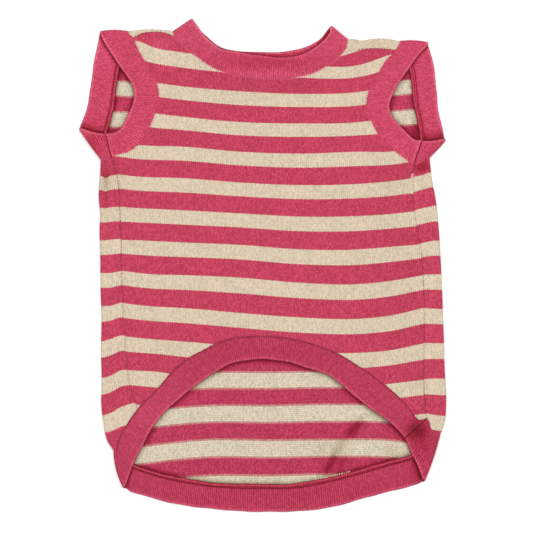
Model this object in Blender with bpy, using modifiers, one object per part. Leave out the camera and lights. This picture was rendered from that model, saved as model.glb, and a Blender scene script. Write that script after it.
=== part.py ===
"""A striped knit dog t-shirt, laid flat with its belly side up.

It is sewn from six knitted pieces: a short front (belly) panel with an arched hem, a longer back panel that
wraps round both sides and a little way over the shoulders, and four doubled rib bands that bind the neck,
the two armholes and the hem.

Laid flat, the cloth lies at two levels. The back panel and the back half of each band rest on the surface.
The front panel, the turned-over edges of the back panel and the front half of each band lie on top of them.
Wherever cloth passes from one level to the other it turns through a half circle.

Frame: metres, +Z up, +Y towards the neck. The origin is under the middle of the shirt, on the surface that
it lies on. Left is -X and right is +X, as they are seen from above. Tables are in millimetres.
"""

import bmesh
import bpy
import numpy as np

COLLECTION = "dog_t_shirt"
MM = 0.001

# Cloth.
JERSEY_WALL = 1.2
RIB_WALL = 2.0
SEAM_GAP = 0.3

# Heights of the middle of each wall above the surface.
LOWER_JERSEY = JERSEY_WALL / 2
LOWER_RIB = RIB_WALL / 2
RIB_LAYER_GAP = 0.4
UPPER_RIB = RIB_WALL + RIB_LAYER_GAP + RIB_WALL / 2
UPPER_JERSEY = 2.6

# How far the upper jersey takes to sink from a thick band's seam to its own level.
SEAM_SLOPE = 9.0

# How far the outside of a fold stands out from the line about which the cloth turns.
RIB_FOLD_REACH = (UPPER_RIB - LOWER_RIB) / 2 + RIB_WALL / 2
JERSEY_FOLD_REACH = (UPPER_JERSEY - LOWER_JERSEY) / 2 + JERSEY_WALL / 2

# Number of steps along each stretch of seam. Two pieces that meet there share the points.
STEPS = {
    "tab": 2,
    "flap": 4,
    "shoulder": 4,
    "neck": 22,
    "armhole": 12,
    "underarm": 5,
    "arch": 40,
    "side": 18,
    "back armhole": 12,
    "hem": 30,
}
FOLD_STEPS = 6

# Each band is a closed ring, pressed flat: a front half and a back half that meet at two folds. A row is one
# section across the band. Both halves run from left to right, or from the shoulder to the underarm. The name
# says which stretch of seam starts at that row. The first and last rows are the outsides of the folds.
# Columns: stretch that starts here, seam x, seam y, free edge x, free edge y.
NECK_FRONT = (
    ("tab", -70.9, 182.4, -56.1, 192.7),
    ("neck", -69.6, 178.2, -54.0, 187.6),
    ("", -63.4, 173.0, -50.1, 183.4),
    ("", -55.4, 166.1, -44.6, 178.0),
    ("", -47.8, 160.1, -38.5, 172.9),
    ("", -39.5, 154.7, -32.5, 169.4),
    ("", -30.7, 151.0, -26.5, 167.8),
    ("", -21.3, 148.8, -18.5, 166.4),
    ("", 1.3, 146.3, 2.5, 163.0),
    ("", 24.7, 146.8, 22.5, 163.0),
    ("", 40.3, 150.7, 35.0, 167.0),
    ("", 52.0, 157.7, 43.8, 172.6),
    ("tab", 60.6, 164.8, 49.6, 178.8),
    ("", 64.2, 169.2, 51.6, 182.2),
    ("end", 66.8, 176.1, 53.7, 187.5),
)
NECK_BACK = (
    ("neck", -70.9, 182.4, -56.1, 192.7),
    ("", -66.5, 175.3, -52.5, 187.0),
    ("", -57.2, 166.8, -45.8, 179.4),
    ("", -43.9, 158.2, -35.6, 171.8),
    ("", -27.5, 152.7, -23.5, 167.6),
    ("", -10.4, 150.2, -9.2, 166.6),
    ("", 6.8, 149.6, 6.8, 166.1),
    ("", 22.4, 151.2, 20.5, 167.4),
    ("", 37.2, 156.6, 33.2, 170.8),
    ("", 50.5, 164.4, 43.8, 176.6),
    ("", 59.8, 171.1, 49.5, 182.2),
    ("end", 66.8, 176.1, 53.7, 187.5),
)
ARMHOLE_LEFT_FRONT = (
    ("tab", -104.8, 182.8, -126.6, 182.8),
    ("armhole", -101.5, 177.3, -121.8, 170.5),
    ("", -97.7, 168.5, -116.0, 161.7),
    ("", -89.2, 154.3, -106.3, 147.0),
    ("", -84.9, 146.1, -102.6, 141.2),
    ("", -82.2, 139.0, -100.9, 137.0),
    ("", -81.4, 132.4, -100.6, 132.0),
    ("", -82.6, 124.6, -101.6, 127.0),
    ("", -84.9, 117.0, -103.2, 121.6),
    ("underarm", -88.8, 107.9, -106.4, 115.2),
    ("", -93.7, 99.2, -109.7, 109.0),
    ("", -98.5, 93.4, -112.4, 105.9),
    ("", -105.5, 88.8, -115.9, 104.0),
    ("flap", -118.0, 83.6, -122.8, 103.3),
    ("", -121.5, 82.6, -132.5, 104.3),
    ("end", -126.4, 82.3, -143.6, 106.1),
)
ARMHOLE_LEFT_BACK = (
    ("back armhole", -104.8, 182.8, -126.6, 182.8),
    ("", -109.8, 166.0, -130.3, 168.0),
    ("", -112.5, 155.7, -132.0, 157.2),
    ("", -115.7, 135.6, -135.1, 137.1),
    ("", -117.5, 123.1, -137.0, 126.5),
    ("", -120.0, 112.6, -139.2, 117.8),
    ("", -122.4, 104.0, -140.9, 112.0),
    ("", -124.6, 93.0, -142.6, 108.8),
    ("end", -126.4, 82.3, -143.6, 106.1),
)
ARMHOLE_RIGHT_FRONT = (
    ("tab", 106.1, 174.7, 127.8, 173.6),
    ("armhole", 103.2, 167.8, 122.6, 166.0),
    ("", 96.2, 158.2, 115.0, 155.9),
    ("", 86.7, 143.8, 105.0, 140.5),
    ("", 82.5, 136.7, 101.0, 132.8),
    ("", 80.4, 126.5, 98.6, 127.0),
    ("", 81.8, 118.4, 98.9, 120.3),
    ("", 84.5, 111.4, 100.6, 115.6),
    ("underarm", 90.2, 101.4, 104.6, 111.0),
    ("", 96.5, 94.5, 108.9, 106.7),
    ("", 103.0, 88.9, 112.9, 102.7),
    ("", 110.1, 83.6, 117.2, 99.0),
    ("flap", 117.0, 78.6, 123.6, 97.8),
    ("", 123.0, 80.2, 132.5, 97.6),
    ("end", 128.5, 83.9, 141.9, 97.4),
)
ARMHOLE_RIGHT_BACK = (
    ("back armhole", 106.1, 174.7, 127.8, 173.6),
    ("", 111.3, 163.6, 130.6, 166.0),
    ("", 115.0, 154.1, 132.3, 156.0),
    ("", 117.7, 134.9, 134.7, 135.8),
    ("", 119.0, 123.7, 135.7, 124.8),
    ("", 120.8, 115.3, 137.0, 117.5),
    ("", 122.6, 106.4, 138.7, 109.5),
    ("", 123.8, 98.3, 140.3, 103.4),
    ("end", 128.5, 83.9, 141.9, 97.4),
)
HEM_FRONT = (
    ("flap", -116.8, -144.1, -109.8, -171.8),
    ("", -112.2, -133.9, -101.6, -155.6),
    ("", -106.4, -123.8, -93.2, -139.0),
    ("arch", -97.7, -111.2, -83.5, -122.6),
    ("", -80.3, -94.5, -67.6, -105.3),
    ("", -69.7, -83.8, -58.6, -98.0),
    ("", -57.3, -72.5, -46.8, -89.4),
    ("", -46.3, -65.3, -37.2, -83.2),
    ("", -34.6, -59.4, -28.0, -77.2),
    ("", -21.3, -55.8, -17.8, -74.4),
    ("", -7.2, -54.6, -6.4, -73.1),
    ("", 20.8, -56.4, 18.6, -74.8),
    ("", 46.6, -63.5, 39.8, -81.4),
    ("", 58.3, -68.4, 48.6, -86.2),
    ("", 72.1, -77.8, 58.8, -93.6),
    ("", 94.9, -93.6, 78.8, -111.2),
    ("", 116.0, -111.3, 99.6, -128.2),
    ("flap", 126.8, -118.9, 109.7, -135.8),
    ("", 130.7, -127.0, 114.9, -145.2),
    ("", 133.6, -129.3, 119.4, -154.5),
    ("end", 138.2, -131.2, 126.0, -167.4),
)
HEM_BACK = (
    ("hem", -116.8, -144.1, -109.8, -171.8),
    ("", -111.0, -150.7, -103.8, -175.2),
    ("", -101.2, -155.6, -95.4, -178.4),
    ("", -87.6, -160.3, -83.0, -181.9),
    ("", -61.5, -166.6, -59.0, -187.0),
    ("", -34.3, -170.2, -33.0, -190.4),
    ("", 5.2, -171.1, 5.2, -192.2),
    ("", 20.8, -171.0, 21.4, -191.8),
    ("", 52.3, -165.5, 54.6, -187.6),
    ("", 83.2, -157.4, 86.6, -178.8),
    ("", 98.8, -152.7, 102.6, -173.9),
    ("", 116.0, -147.8, 115.6, -170.4),
    ("", 128.5, -141.3, 122.2, -168.4),
    ("end", 138.2, -131.2, 126.0, -167.4),
)

# The back panel's folded outline, and the seams where its turned-over edges meet the front panel. Only the
# rows between the bands are given, because each line starts and ends on a band. Columns: x, y.
SHOULDER_EDGE_LEFT = ((-93.8, 183.9), (-82.9, 184.3), (-75.9, 183.5))
SHOULDER_EDGE_RIGHT = ((71.0, 176.2), (76.3, 174.2), (84.0, 176.2), (94.5, 176.8))
SHOULDER_SEAM_LEFT = ((-93.8, 179.6), (-85.3, 180.4), (-76.7, 180.0))
SHOULDER_SEAM_RIGHT = ((72.3, 167.9), (88.7, 169.2))
SIDE_EDGE_LEFT = (
    (-128.4, 66.9),
    (-129.3, 49.8),
    (-128.2, 16.2),
    (-128.0, -65.7),
    (-127.5, -108.6),
    (-125.8, -121.1),
    (-121.9, -135.9),
)
SIDE_EDGE_RIGHT = (
    (132.0, 66.9),
    (134.7, 51.3),
    (138.6, 8.4),
    (140.9, -42.3),
    (142.5, -89.1),
    (143.0, -107.0),
    (142.1, -121.8),
)
SIDE_SEAM_LEFT = (
    (-113.7, 68.5),
    (-111.4, 39.6),
    (-110.2, -7.2),
    (-108.7, -37.6),
    (-106.9, -65.7),
    (-103.6, -93.8),
)
SIDE_SEAM_RIGHT = (
    (116.6, 68.5),
    (117.9, 51.3),
    (123.0, 13.9),
    (125.0, -18.9),
    (125.3, -57.9),
    (125.2, -96.9),
)

# Soft folds of the upper layer, as low ridges.
# Columns: middle x, middle y, heading in degrees from +X, length, width, height.
SOFT_FOLDS = (
    (-119.0, 20.0, 91.0, 90.0, 7.0, 0.9),
    (-118.0, -70.0, 88.0, 60.0, 7.0, 0.8),
    (132.0, 5.0, 86.0, 110.0, 7.0, 1.0),
    (134.0, -80.0, 89.0, 60.0, 7.0, 0.8),
    (-92.0, 74.0, -28.0, 40.0, 9.0, 0.8),
    (94.0, 72.0, 205.0, 44.0, 9.0, 0.9),
    (84.0, 160.0, 78.0, 16.0, 7.0, 0.8),
    (-72.0, -62.0, 62.0, 60.0, 11.0, 0.6),
    (92.0, -62.0, 118.0, 60.0, 11.0, 0.7),
)

# Section of a doubled rib band: a plain edge at the seam and a rounded one where the rib is folded double.
# Columns: share of the band's width, millimetres added to that, height in half walls.
BAND_SECTION = (
    (0.0, SEAM_GAP / 2, -1.0),
    (0.0, SEAM_GAP / 2, 1.0),
    (0.5, 0.0, 1.0),
    (1.0, -1.2, 1.0),
    (1.0, -0.35, 0.7),
    (1.0, 0.0, 0.0),
    (1.0, -0.35, -0.7),
    (1.0, -1.2, -1.0),
    (0.5, 0.0, -1.0),
)

# Colours (linear), roughness of the two yarns.
ROSE_RIB = (0.62, 0.075, 0.115, 1.0)
STRIPED_JERSEY = (0.66, 0.28, 0.26, 1.0)
KNIT_ROUGHNESS = 0.9

UP = np.array((0.0, 1.0))
LEFT = np.array((-1.0, 0.0))
RIGHT = np.array((1.0, 0.0))


def smooth_curve(rows, marks, steps):
    """Run a smooth curve through the rows, and read it in even steps between the marked rows.

    The curve is a cubic through each row, whose slope there is that of its neighbours. Steps gives the
    number of steps between each pair of marks. Each stretch comes back as its own array.
    """
    knots = np.concatenate(([0.0], np.cumsum(np.linalg.norm(np.diff(rows, axis=0), axis=1))))
    slopes = np.gradient(rows, knots, axis=0)
    stretches = []
    for start, end, count in zip(marks[:-1], marks[1:], steps):
        at = np.linspace(knots[start], knots[end], count + 1)
        row = np.clip(np.searchsorted(knots, at, side="right") - 1, 0, len(rows) - 2)
        span = (knots[row + 1] - knots[row])[:, None]
        t = (at - knots[row])[:, None] / span
        stretches.append(
            (2 * t**3 - 3 * t**2 + 1) * rows[row]
            + (t**3 - 2 * t**2 + t) * span * slopes[row]
            + (3 * t**2 - 2 * t**3) * rows[row + 1]
            + (t**3 - t**2) * span * slopes[row + 1]
        )
    return stretches


def band_stretches(table, first_bulge, last_bulge):
    """Turn a band's table into arrays of sections, one array for each stretch of seam.

    The first and last rows are the outsides of the folds, so they are brought in to the lines about which
    the band turns.
    """
    rows = np.array([row[1:] for row in table])
    rows[0] -= RIB_FOLD_REACH * np.tile(first_bulge, 2)
    rows[-1] -= RIB_FOLD_REACH * np.tile(last_bulge, 2)
    names = [row[0] for row in table]
    marks = [index for index, name in enumerate(names) if name]
    steps = [STEPS[names[mark]] for mark in marks[:-1]]
    return smooth_curve(rows, marks, steps)


def seam(sections):
    """The seam edge of a stretch of band, as plan points."""
    return sections[:, :2]


def plan_line(start, between, end, steps):
    """A smooth plan line from start to end through the rows between them."""
    rows = np.vstack((start, np.array(between), end))
    return smooth_curve(rows, (0, len(rows) - 1), (steps,))[0]


def fold_line(start, edge, end, bulge, steps):
    """The line about which the jersey turns, inside the outline that its fold gives the shirt."""
    return plan_line(start, np.array(edge) - JERSEY_FOLD_REACH * bulge, end, steps)


def inset_loop(points, gaps):
    """Move each side of a closed counterclockwise loop inwards by its own gap."""
    ahead = np.roll(points, -1, axis=0) - points
    ahead /= np.linalg.norm(ahead, axis=1)[:, None]
    normal = np.column_stack((-ahead[:, 1], ahead[:, 0]))
    before = np.roll(normal, 1, axis=0)
    gap_before = np.roll(gaps, 1)
    turn = before[:, 0] * normal[:, 1] - before[:, 1] * normal[:, 0]
    sharp = np.abs(turn) > 0.3
    safe_turn = np.where(sharp, turn, 1.0)
    meeting = np.column_stack(
        (
            (gap_before * normal[:, 1] - gaps * before[:, 1]) / safe_turn,
            (gaps * before[:, 0] - gap_before * normal[:, 0]) / safe_turn,
        )
    )
    average = (before + normal) / (1 + (before * normal).sum(axis=1))[:, None]
    average *= ((gaps + gap_before) / 2)[:, None]
    return points + np.where(sharp[:, None], meeting, average)


def filled_patch(top, right, bottom, left):
    """Fill the space between four sides with a grid of plan points.

    Each side is a list of (points, gap) stretches. Top and bottom run left to right, the others run down.
    The sides are first moved in by their gaps. A point inside is the blend of the two points across from
    it, plus the blend of the two above and below it, less the blend of the corners.
    """
    lines = []
    gaps = []
    for side, backwards in ((left, False), (bottom, False), (right, True), (top, True)):
        line = [side[0][0]] + [points[1:] for points, gap in side[1:]]
        gap = [np.full(len(points) - 1, gap) for points, gap in side]
        lines.append(np.vstack(line)[:: -1 if backwards else 1])
        gaps.append(np.concatenate(gap)[:: -1 if backwards else 1])
    counts = [len(line) - 1 for line in lines]
    loop = inset_loop(np.vstack([line[:-1] for line in lines]), np.concatenate(gaps))
    loop = np.vstack((loop, loop[:1]))
    ends = np.cumsum([0] + counts)
    left, bottom, right, top = (loop[ends[i] : ends[i + 1] + 1] for i in range(4))
    right = right[::-1]
    top = top[::-1]
    u = np.linspace(0.0, 1.0, len(top))[None, :, None]
    v = np.linspace(0.0, 1.0, len(left))[:, None, None]
    across = (1 - u) * left[:, None] + u * right[:, None]
    down = (1 - v) * top[None] + v * bottom[None]
    corners = (1 - v) * ((1 - u) * top[0] + u * top[-1]) + v * ((1 - u) * bottom[0] + u * bottom[-1])
    return across + down - corners


def distance_to_lines(points, lines):
    """Plan distance from each point to the nearest of several lines."""
    nearest = np.full(len(points), np.inf)
    for line in lines:
        start = line[:-1][None]
        step = np.diff(line, axis=0)[None]
        along = ((points[:, None] - start) * step).sum(axis=2) / (step**2).sum(axis=2)
        foot = start + np.clip(along, 0.0, 1.0)[:, :, None] * step
        gap = np.linalg.norm(points[:, None] - foot, axis=2).min(axis=1)
        nearest = np.minimum(nearest, gap)
    return nearest


def upper_height(plan, band_seams):
    """Height of the upper jersey's middle: its own level, raised at the bands' seams and by soft folds."""
    points = plan.reshape(-1, 2)
    near_seam = np.exp(-((distance_to_lines(points, band_seams) / SEAM_SLOPE) ** 2))
    height = UPPER_JERSEY + (UPPER_RIB - UPPER_JERSEY) * near_seam
    for x, y, heading, length, width, rise in SOFT_FOLDS:
        angle = np.radians(heading)
        along = (points[:, 0] - x) * np.cos(angle) + (points[:, 1] - y) * np.sin(angle)
        across = (points[:, 1] - y) * np.cos(angle) - (points[:, 0] - x) * np.sin(angle)
        ridge = np.exp(-((across / width) ** 2)) * np.exp(-((2 * along / length) ** 4))
        height += rise * ridge * (1 - near_seam)
    return height.reshape(plan.shape[:-1])


def at_height(plan, height):
    """Plan points with their height as a third coordinate."""
    return np.concatenate((plan, np.broadcast_to(height, plan.shape[:-1])[..., None]), axis=-1)


def half_turn(lower, upper, bulge):
    """The fold between a lower edge and the upper edge above it, as a grid with both edges in it."""
    turn = np.linspace(0.0, np.pi, FOLD_STEPS + 1)[:, None, None]
    share = turn / np.pi
    centre = (1 - share) * lower[None] + share * upper[None]
    middle = (lower[None, :, 2:] + upper[None, :, 2:]) / 2
    radius = (upper[None, :, 2:] - lower[None, :, 2:]) / 2
    plan = centre[..., :2] + radius * np.sin(turn) * bulge
    return np.concatenate((plan, middle - radius * np.cos(turn)), axis=-1)


def mesh_object(name, points, faces, colour):
    """Make an object of a mesh in metres, smooth shaded, with its own knit material."""
    mesh = bpy.data.meshes.new(name)
    mesh.from_pydata((points * MM).tolist(), [], faces)
    mesh.shade_smooth()
    material = bpy.data.materials.new(name + "_knit")
    material.use_nodes = True
    shader = material.node_tree.nodes["Principled BSDF"]
    shader.inputs["Base Color"].default_value = colour
    shader.inputs["Roughness"].default_value = KNIT_ROUGHNESS
    shader.inputs["Metallic"].default_value = 0.0
    mesh.materials.append(material)
    piece = bpy.data.objects.new(name, mesh)
    bpy.data.collections[COLLECTION].objects.link(piece)
    return piece


def jersey_piece(name, grids):
    """Sew grids of points into one open surface and give it the jersey's wall."""
    points = []
    faces = []
    for grid in grids:
        rows, columns = grid.shape[:2]
        corner = len(points) + (np.arange(rows - 1)[:, None] * columns + np.arange(columns - 1)).ravel()
        faces += np.column_stack((corner, corner + columns, corner + columns + 1, corner + 1)).tolist()
        points += grid.reshape(-1, 3).tolist()
    piece = mesh_object(name, np.array(points), faces, STRIPED_JERSEY)
    surface = bmesh.new()
    surface.from_mesh(piece.data)
    bmesh.ops.remove_doubles(surface, verts=surface.verts, dist=0.00001)
    bmesh.ops.recalc_face_normals(surface, faces=surface.faces)
    surface.to_mesh(piece.data)
    surface.free()
    wall = piece.modifiers.new("wall", "SOLIDIFY")
    wall.thickness = JERSEY_WALL * MM
    wall.offset = 0.0
    wall.use_even_offset = True
    return piece


def rib_band(name, front, back, first_bulge, last_bulge):
    """Loft a band's section round its flattened ring.

    The stations go along the front half, round the last fold, back along the back half and round the first
    fold. At a fold both the station's place and its section turn from the top level to the bottom one.
    """
    fold = np.linspace(0.0, np.pi, FOLD_STEPS + 1)[1:-1]
    stations = (
        (front, np.zeros(len(front)), last_bulge),
        (np.repeat(front[-1:], len(fold), axis=0), fold, last_bulge),
        (back[::-1], np.full(len(back), np.pi), last_bulge),
        (np.repeat(front[:1], len(fold), axis=0), fold[::-1], first_bulge),
    )
    sections = np.vstack([part[0] for part in stations])
    turn = np.concatenate([part[1] for part in stations])
    bulge = np.vstack([np.tile(part[2], (len(part[0]), 1)) for part in stations])
    outwards = np.column_stack((np.sin(turn)[:, None] * bulge, np.cos(turn)))
    across = sections[:, 2:] - sections[:, :2]
    width = np.linalg.norm(across, axis=1)
    across /= width[:, None]
    share, added, height = np.array(BAND_SECTION).T
    reach = width[:, None] * share + added
    radius = (UPPER_RIB - LOWER_RIB) / 2
    start = at_height(sections[:, :2], (UPPER_RIB + LOWER_RIB) / 2) + radius * outwards
    points = start[:, None] + reach[:, :, None] * at_height(across, 0.0)[:, None]
    points = points + (height * RIB_WALL / 2)[None, :, None] * outwards[:, None]
    rings, corners = points.shape[:2]
    ring, corner = (grid.ravel() for grid in np.mgrid[:rings, :corners])
    next_ring = (ring + 1) % rings
    next_corner = (corner + 1) % corners
    faces = np.column_stack(
        (
            ring * corners + corner,
            ring * corners + next_corner,
            next_ring * corners + next_corner,
            next_ring * corners + corner,
        )
    )
    piece = mesh_object(name, points.reshape(-1, 3), faces.tolist(), ROSE_RIB)
    shell = bmesh.new()
    shell.from_mesh(piece.data)
    bmesh.ops.recalc_face_normals(shell, faces=shell.faces)
    shell.to_mesh(piece.data)
    shell.free()
    return piece


def front_panel(neck, arm_left, arm_right, hem, seams, band_seams):
    """The belly panel, between the shoulder seams, the neck, the armholes, the side seams and the arch."""
    gap = SEAM_GAP / 2
    armhole_left, underarm_left = seam(arm_left[1]), seam(arm_left[2])
    armhole_right, underarm_right = seam(arm_right[1]), seam(arm_right[2])
    chest_steps = 2 * STEPS["shoulder"] + STEPS["neck"]
    share = np.linspace(0.0, 1.0, chest_steps + 1)[:, None]
    chest_line = (1 - share) * armhole_left[-1] + share * armhole_right[-1]
    chest = filled_patch(
        top=[(seams["shoulder left"], gap), (seam(neck[1]), gap), (seams["shoulder right"], gap)],
        right=[(armhole_right, gap)],
        bottom=[(chest_line, 0.0)],
        left=[(armhole_left, gap)],
    )
    belly = filled_patch(
        top=[(underarm_left[::-1], gap), (chest_line, 0.0), (underarm_right, gap)],
        right=[(seams["side right"], gap)],
        bottom=[(seam(hem[1]), gap)],
        left=[(seams["side left"], gap)],
    )
    patches = [at_height(part, upper_height(part, band_seams)) for part in (chest, belly)]
    return jersey_piece("front_panel", patches)


def back_panel(backs, fronts, folds, seams, band_seams):
    """The back panel: its lower layer, the flaps round both sides and the tabs over both shoulders."""
    gap = SEAM_GAP / 2
    plan = filled_patch(
        top=[(folds["shoulder left"], 0.0), (seam(backs["neck"]), gap), (folds["shoulder right"], 0.0)],
        right=[(seam(backs["arm right"]), gap), (folds["side right"], 0.0)],
        bottom=[(seam(backs["hem"]), gap)],
        left=[(seam(backs["arm left"]), gap), (folds["side left"], 0.0)],
    )
    floor = at_height(plan, LOWER_JERSEY)
    flap_left = filled_patch(
        top=[(seam(fronts["arm left"][3])[::-1], gap)],
        right=[(seams["side left"], gap)],
        bottom=[(seam(fronts["hem"][0]), gap)],
        left=[(folds["side left"], 0.0)],
    )
    flap_right = filled_patch(
        top=[(seam(fronts["arm right"][3]), gap)],
        right=[(folds["side right"], 0.0)],
        bottom=[(seam(fronts["hem"][2]), gap)],
        left=[(seams["side right"], gap)],
    )
    tab_left = filled_patch(
        top=[(folds["shoulder left"], 0.0)],
        right=[(seam(fronts["neck"][0]), gap)],
        bottom=[(seams["shoulder left"], gap)],
        left=[(seam(fronts["arm left"][0]), gap)],
    )
    tab_right = filled_patch(
        top=[(folds["shoulder right"], 0.0)],
        right=[(seam(fronts["arm right"][0]), gap)],
        bottom=[(seams["shoulder right"], gap)],
        left=[(seam(fronts["neck"][2])[::-1], gap)],
    )
    plans = (flap_left, flap_right, tab_left, tab_right)
    uppers = [at_height(part, upper_height(part, band_seams)) for part in plans]
    side_rows = slice(STEPS["back armhole"], None)
    shoulder = STEPS["shoulder"] + 1
    turns = [
        half_turn(floor[side_rows, 0], uppers[0][:, 0], LEFT),
        half_turn(floor[side_rows, -1], uppers[1][:, -1], RIGHT),
        half_turn(floor[0, :shoulder], uppers[2][0], UP),
        half_turn(floor[0, -shoulder:], uppers[3][0], UP),
    ]
    return jersey_piece("back_panel", [floor] + uppers + turns)


def t_shirt():
    """Work out the bands first, then the panels that fill the space between them."""
    neck = band_stretches(NECK_FRONT, UP, UP)
    arm_left = band_stretches(ARMHOLE_LEFT_FRONT, UP, LEFT)
    arm_right = band_stretches(ARMHOLE_RIGHT_FRONT, UP, RIGHT)
    hem = band_stretches(HEM_FRONT, LEFT, RIGHT)
    fronts = {"neck": neck, "arm left": arm_left, "arm right": arm_right, "hem": hem}
    backs = {
        "neck": band_stretches(NECK_BACK, UP, UP)[0],
        "arm left": band_stretches(ARMHOLE_LEFT_BACK, UP, LEFT)[0],
        "arm right": band_stretches(ARMHOLE_RIGHT_BACK, UP, RIGHT)[0],
        "hem": band_stretches(HEM_BACK, LEFT, RIGHT)[0],
    }
    halves = {}
    for name, stretches in fronts.items():
        halves[name] = np.vstack([stretches[0]] + [part[1:] for part in stretches[1:]])
    rib_band("neck_band", halves["neck"], backs["neck"], UP, UP)
    rib_band("armhole_band_left", halves["arm left"], backs["arm left"], UP, LEFT)
    rib_band("armhole_band_right", halves["arm right"], backs["arm right"], UP, RIGHT)
    rib_band("hem_band", halves["hem"], backs["hem"], LEFT, RIGHT)

    shoulder = STEPS["shoulder"]
    side = STEPS["side"]
    neck_left, neck_right = seam(halves["neck"])[[0, -1]]
    top_left, underarm_left = seam(halves["arm left"])[[0, -1]]
    top_right, underarm_right = seam(halves["arm right"])[[0, -1]]
    hem_left, hem_right = seam(halves["hem"])[[0, -1]]
    folds = {
        "shoulder left": fold_line(top_left, SHOULDER_EDGE_LEFT, neck_left, UP, shoulder),
        "shoulder right": fold_line(neck_right, SHOULDER_EDGE_RIGHT, top_right, UP, shoulder),
        "side left": fold_line(underarm_left, SIDE_EDGE_LEFT, hem_left, LEFT, side),
        "side right": fold_line(underarm_right, SIDE_EDGE_RIGHT, hem_right, RIGHT, side),
    }
    front_neck = seam(neck[1])
    front_left = seam(arm_left[1])
    front_right = seam(arm_right[1])
    arch = seam(hem[1])
    seams = {
        "shoulder left": plan_line(front_left[0], SHOULDER_SEAM_LEFT, front_neck[0], shoulder),
        "shoulder right": plan_line(front_neck[-1], SHOULDER_SEAM_RIGHT, front_right[0], shoulder),
        "side left": plan_line(seam(arm_left[2])[-1], SIDE_SEAM_LEFT, arch[0], side),
        "side right": plan_line(seam(arm_right[2])[-1], SIDE_SEAM_RIGHT, arch[-1], side),
    }
    band_seams = [seam(half) for half in halves.values()]
    front_panel(neck, arm_left, arm_right, hem, seams, band_seams)
    back_panel(backs, fronts, folds, seams, band_seams)


def main():
    """Clear the scene and build the shirt in its own collection."""
    for item in list(bpy.data.objects):
        bpy.data.objects.remove(item)
    bpy.context.scene.collection.children.link(bpy.data.collections.new(COLLECTION))
    t_shirt()


main()
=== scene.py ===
# %% [markdown]
# # A striped dog t-shirt, laid flat
# The real shirt is fine knitting: a front (belly) panel, a longer back panel that wraps round the sides, and
# four rib bands. A knitted shirt could be simulated as cloth, but one that lies pressed flat keeps the exact
# outline it was laid in. So every surface here is worked out from the seam lines, and small folds are added.

import bmesh
import bpy
import numpy as np
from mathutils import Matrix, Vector


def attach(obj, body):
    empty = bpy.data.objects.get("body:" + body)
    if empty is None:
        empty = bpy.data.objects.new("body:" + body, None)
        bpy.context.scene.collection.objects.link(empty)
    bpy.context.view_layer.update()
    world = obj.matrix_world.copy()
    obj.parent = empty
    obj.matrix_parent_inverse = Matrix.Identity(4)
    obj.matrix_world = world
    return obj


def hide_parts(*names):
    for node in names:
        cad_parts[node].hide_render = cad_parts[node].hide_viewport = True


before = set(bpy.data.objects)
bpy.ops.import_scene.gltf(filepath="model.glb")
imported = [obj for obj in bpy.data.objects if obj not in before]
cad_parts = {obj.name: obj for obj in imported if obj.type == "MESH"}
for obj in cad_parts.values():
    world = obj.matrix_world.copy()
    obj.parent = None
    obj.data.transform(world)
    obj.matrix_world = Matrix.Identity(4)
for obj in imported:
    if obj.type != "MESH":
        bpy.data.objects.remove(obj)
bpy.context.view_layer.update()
print("CAD nodes:", sorted(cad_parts))

# %% [markdown]
# ## The seam lines
# A band is a strip of doubled rib. On the real shirt its one edge is sewn to the panels and its other edge is
# the fold that finishes a hole. The tables give both edges, in millimetres, a row for each section across the
# band. They are very nearly the sections that the solids were made from. The first and last rows are the
# outsides of the two folds where the flattened band turns from the top layer to the bottom one.

# %% Seam tables
# A front table holds a band's front half. Columns: stretch of seam that starts here, seam x, seam y, free
# edge x, free edge y. The back half starts and ends on the same two rows, so a back table holds only the
# rows between them, and no names.
NECK_FRONT = (
    ("tab", -70.9, 182.4, -55.4, 193.0),
    ("neck", -69.6, 178.2, -52.0, 187.6),
    ("", -63.4, 173.0, -49.1, 183.4),
    ("", -55.4, 166.1, -44.6, 178.0),
    ("", -47.8, 160.1, -38.5, 172.9),
    ("", -39.5, 154.7, -32.5, 169.4),
    ("", -30.7, 151.0, -26.5, 167.8),
    ("", -21.3, 148.8, -18.5, 166.4),
    ("", 1.3, 146.3, 2.5, 163.0),
    ("", 24.7, 146.8, 22.5, 163.0),
    ("", 40.3, 150.7, 35.0, 167.0),
    ("", 52.0, 157.7, 43.8, 172.6),
    ("tab", 60.6, 164.8, 49.6, 178.8),
    ("", 64.2, 169.2, 51.6, 182.2),
    ("end", 66.8, 176.1, 52.8, 187.7),
)
NECK_BACK = (
    (-66.5, 175.3, -52.5, 187.6),
    (-57.2, 166.8, -45.4, 180.4),
    (-43.9, 158.2, -35.6, 171.8),
    (-27.5, 152.7, -23.5, 167.6),
    (-10.4, 150.2, -9.2, 167.1),
    (6.8, 149.6, 6.8, 166.7),
    (22.4, 151.2, 20.5, 167.4),
    (37.2, 156.6, 33.2, 170.8),
    (50.5, 164.4, 43.8, 176.6),
    (59.8, 171.1, 48.6, 182.6),
)
ARMHOLE_LEFT_FRONT = (
    ("tab", -104.8, 182.9, -127.6, 182.9),
    ("armhole", -101.5, 177.3, -121.8, 170.5),
    ("", -97.7, 168.5, -116.0, 161.7),
    ("", -89.2, 154.3, -106.3, 147.0),
    ("", -84.9, 146.1, -102.6, 141.2),
    ("", -82.2, 139.0, -100.9, 137.0),
    ("", -81.4, 132.4, -100.6, 132.0),
    ("", -82.6, 124.6, -101.6, 127.0),
    ("", -84.9, 117.0, -103.2, 121.6),
    ("underarm", -88.8, 107.9, -106.4, 115.2),
    ("", -93.7, 99.2, -109.7, 109.0),
    ("", -98.5, 93.4, -112.4, 105.9),
    ("", -105.5, 88.8, -115.9, 104.0),
    ("", -114.8, 86.0, -120.6, 103.4),
    ("flap", -118.0, 83.6, -122.8, 103.3),
    ("", -121.5, 82.6, -132.5, 104.3),
    ("end", -126.4, 82.3, -143.6, 106.1),
)
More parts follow.
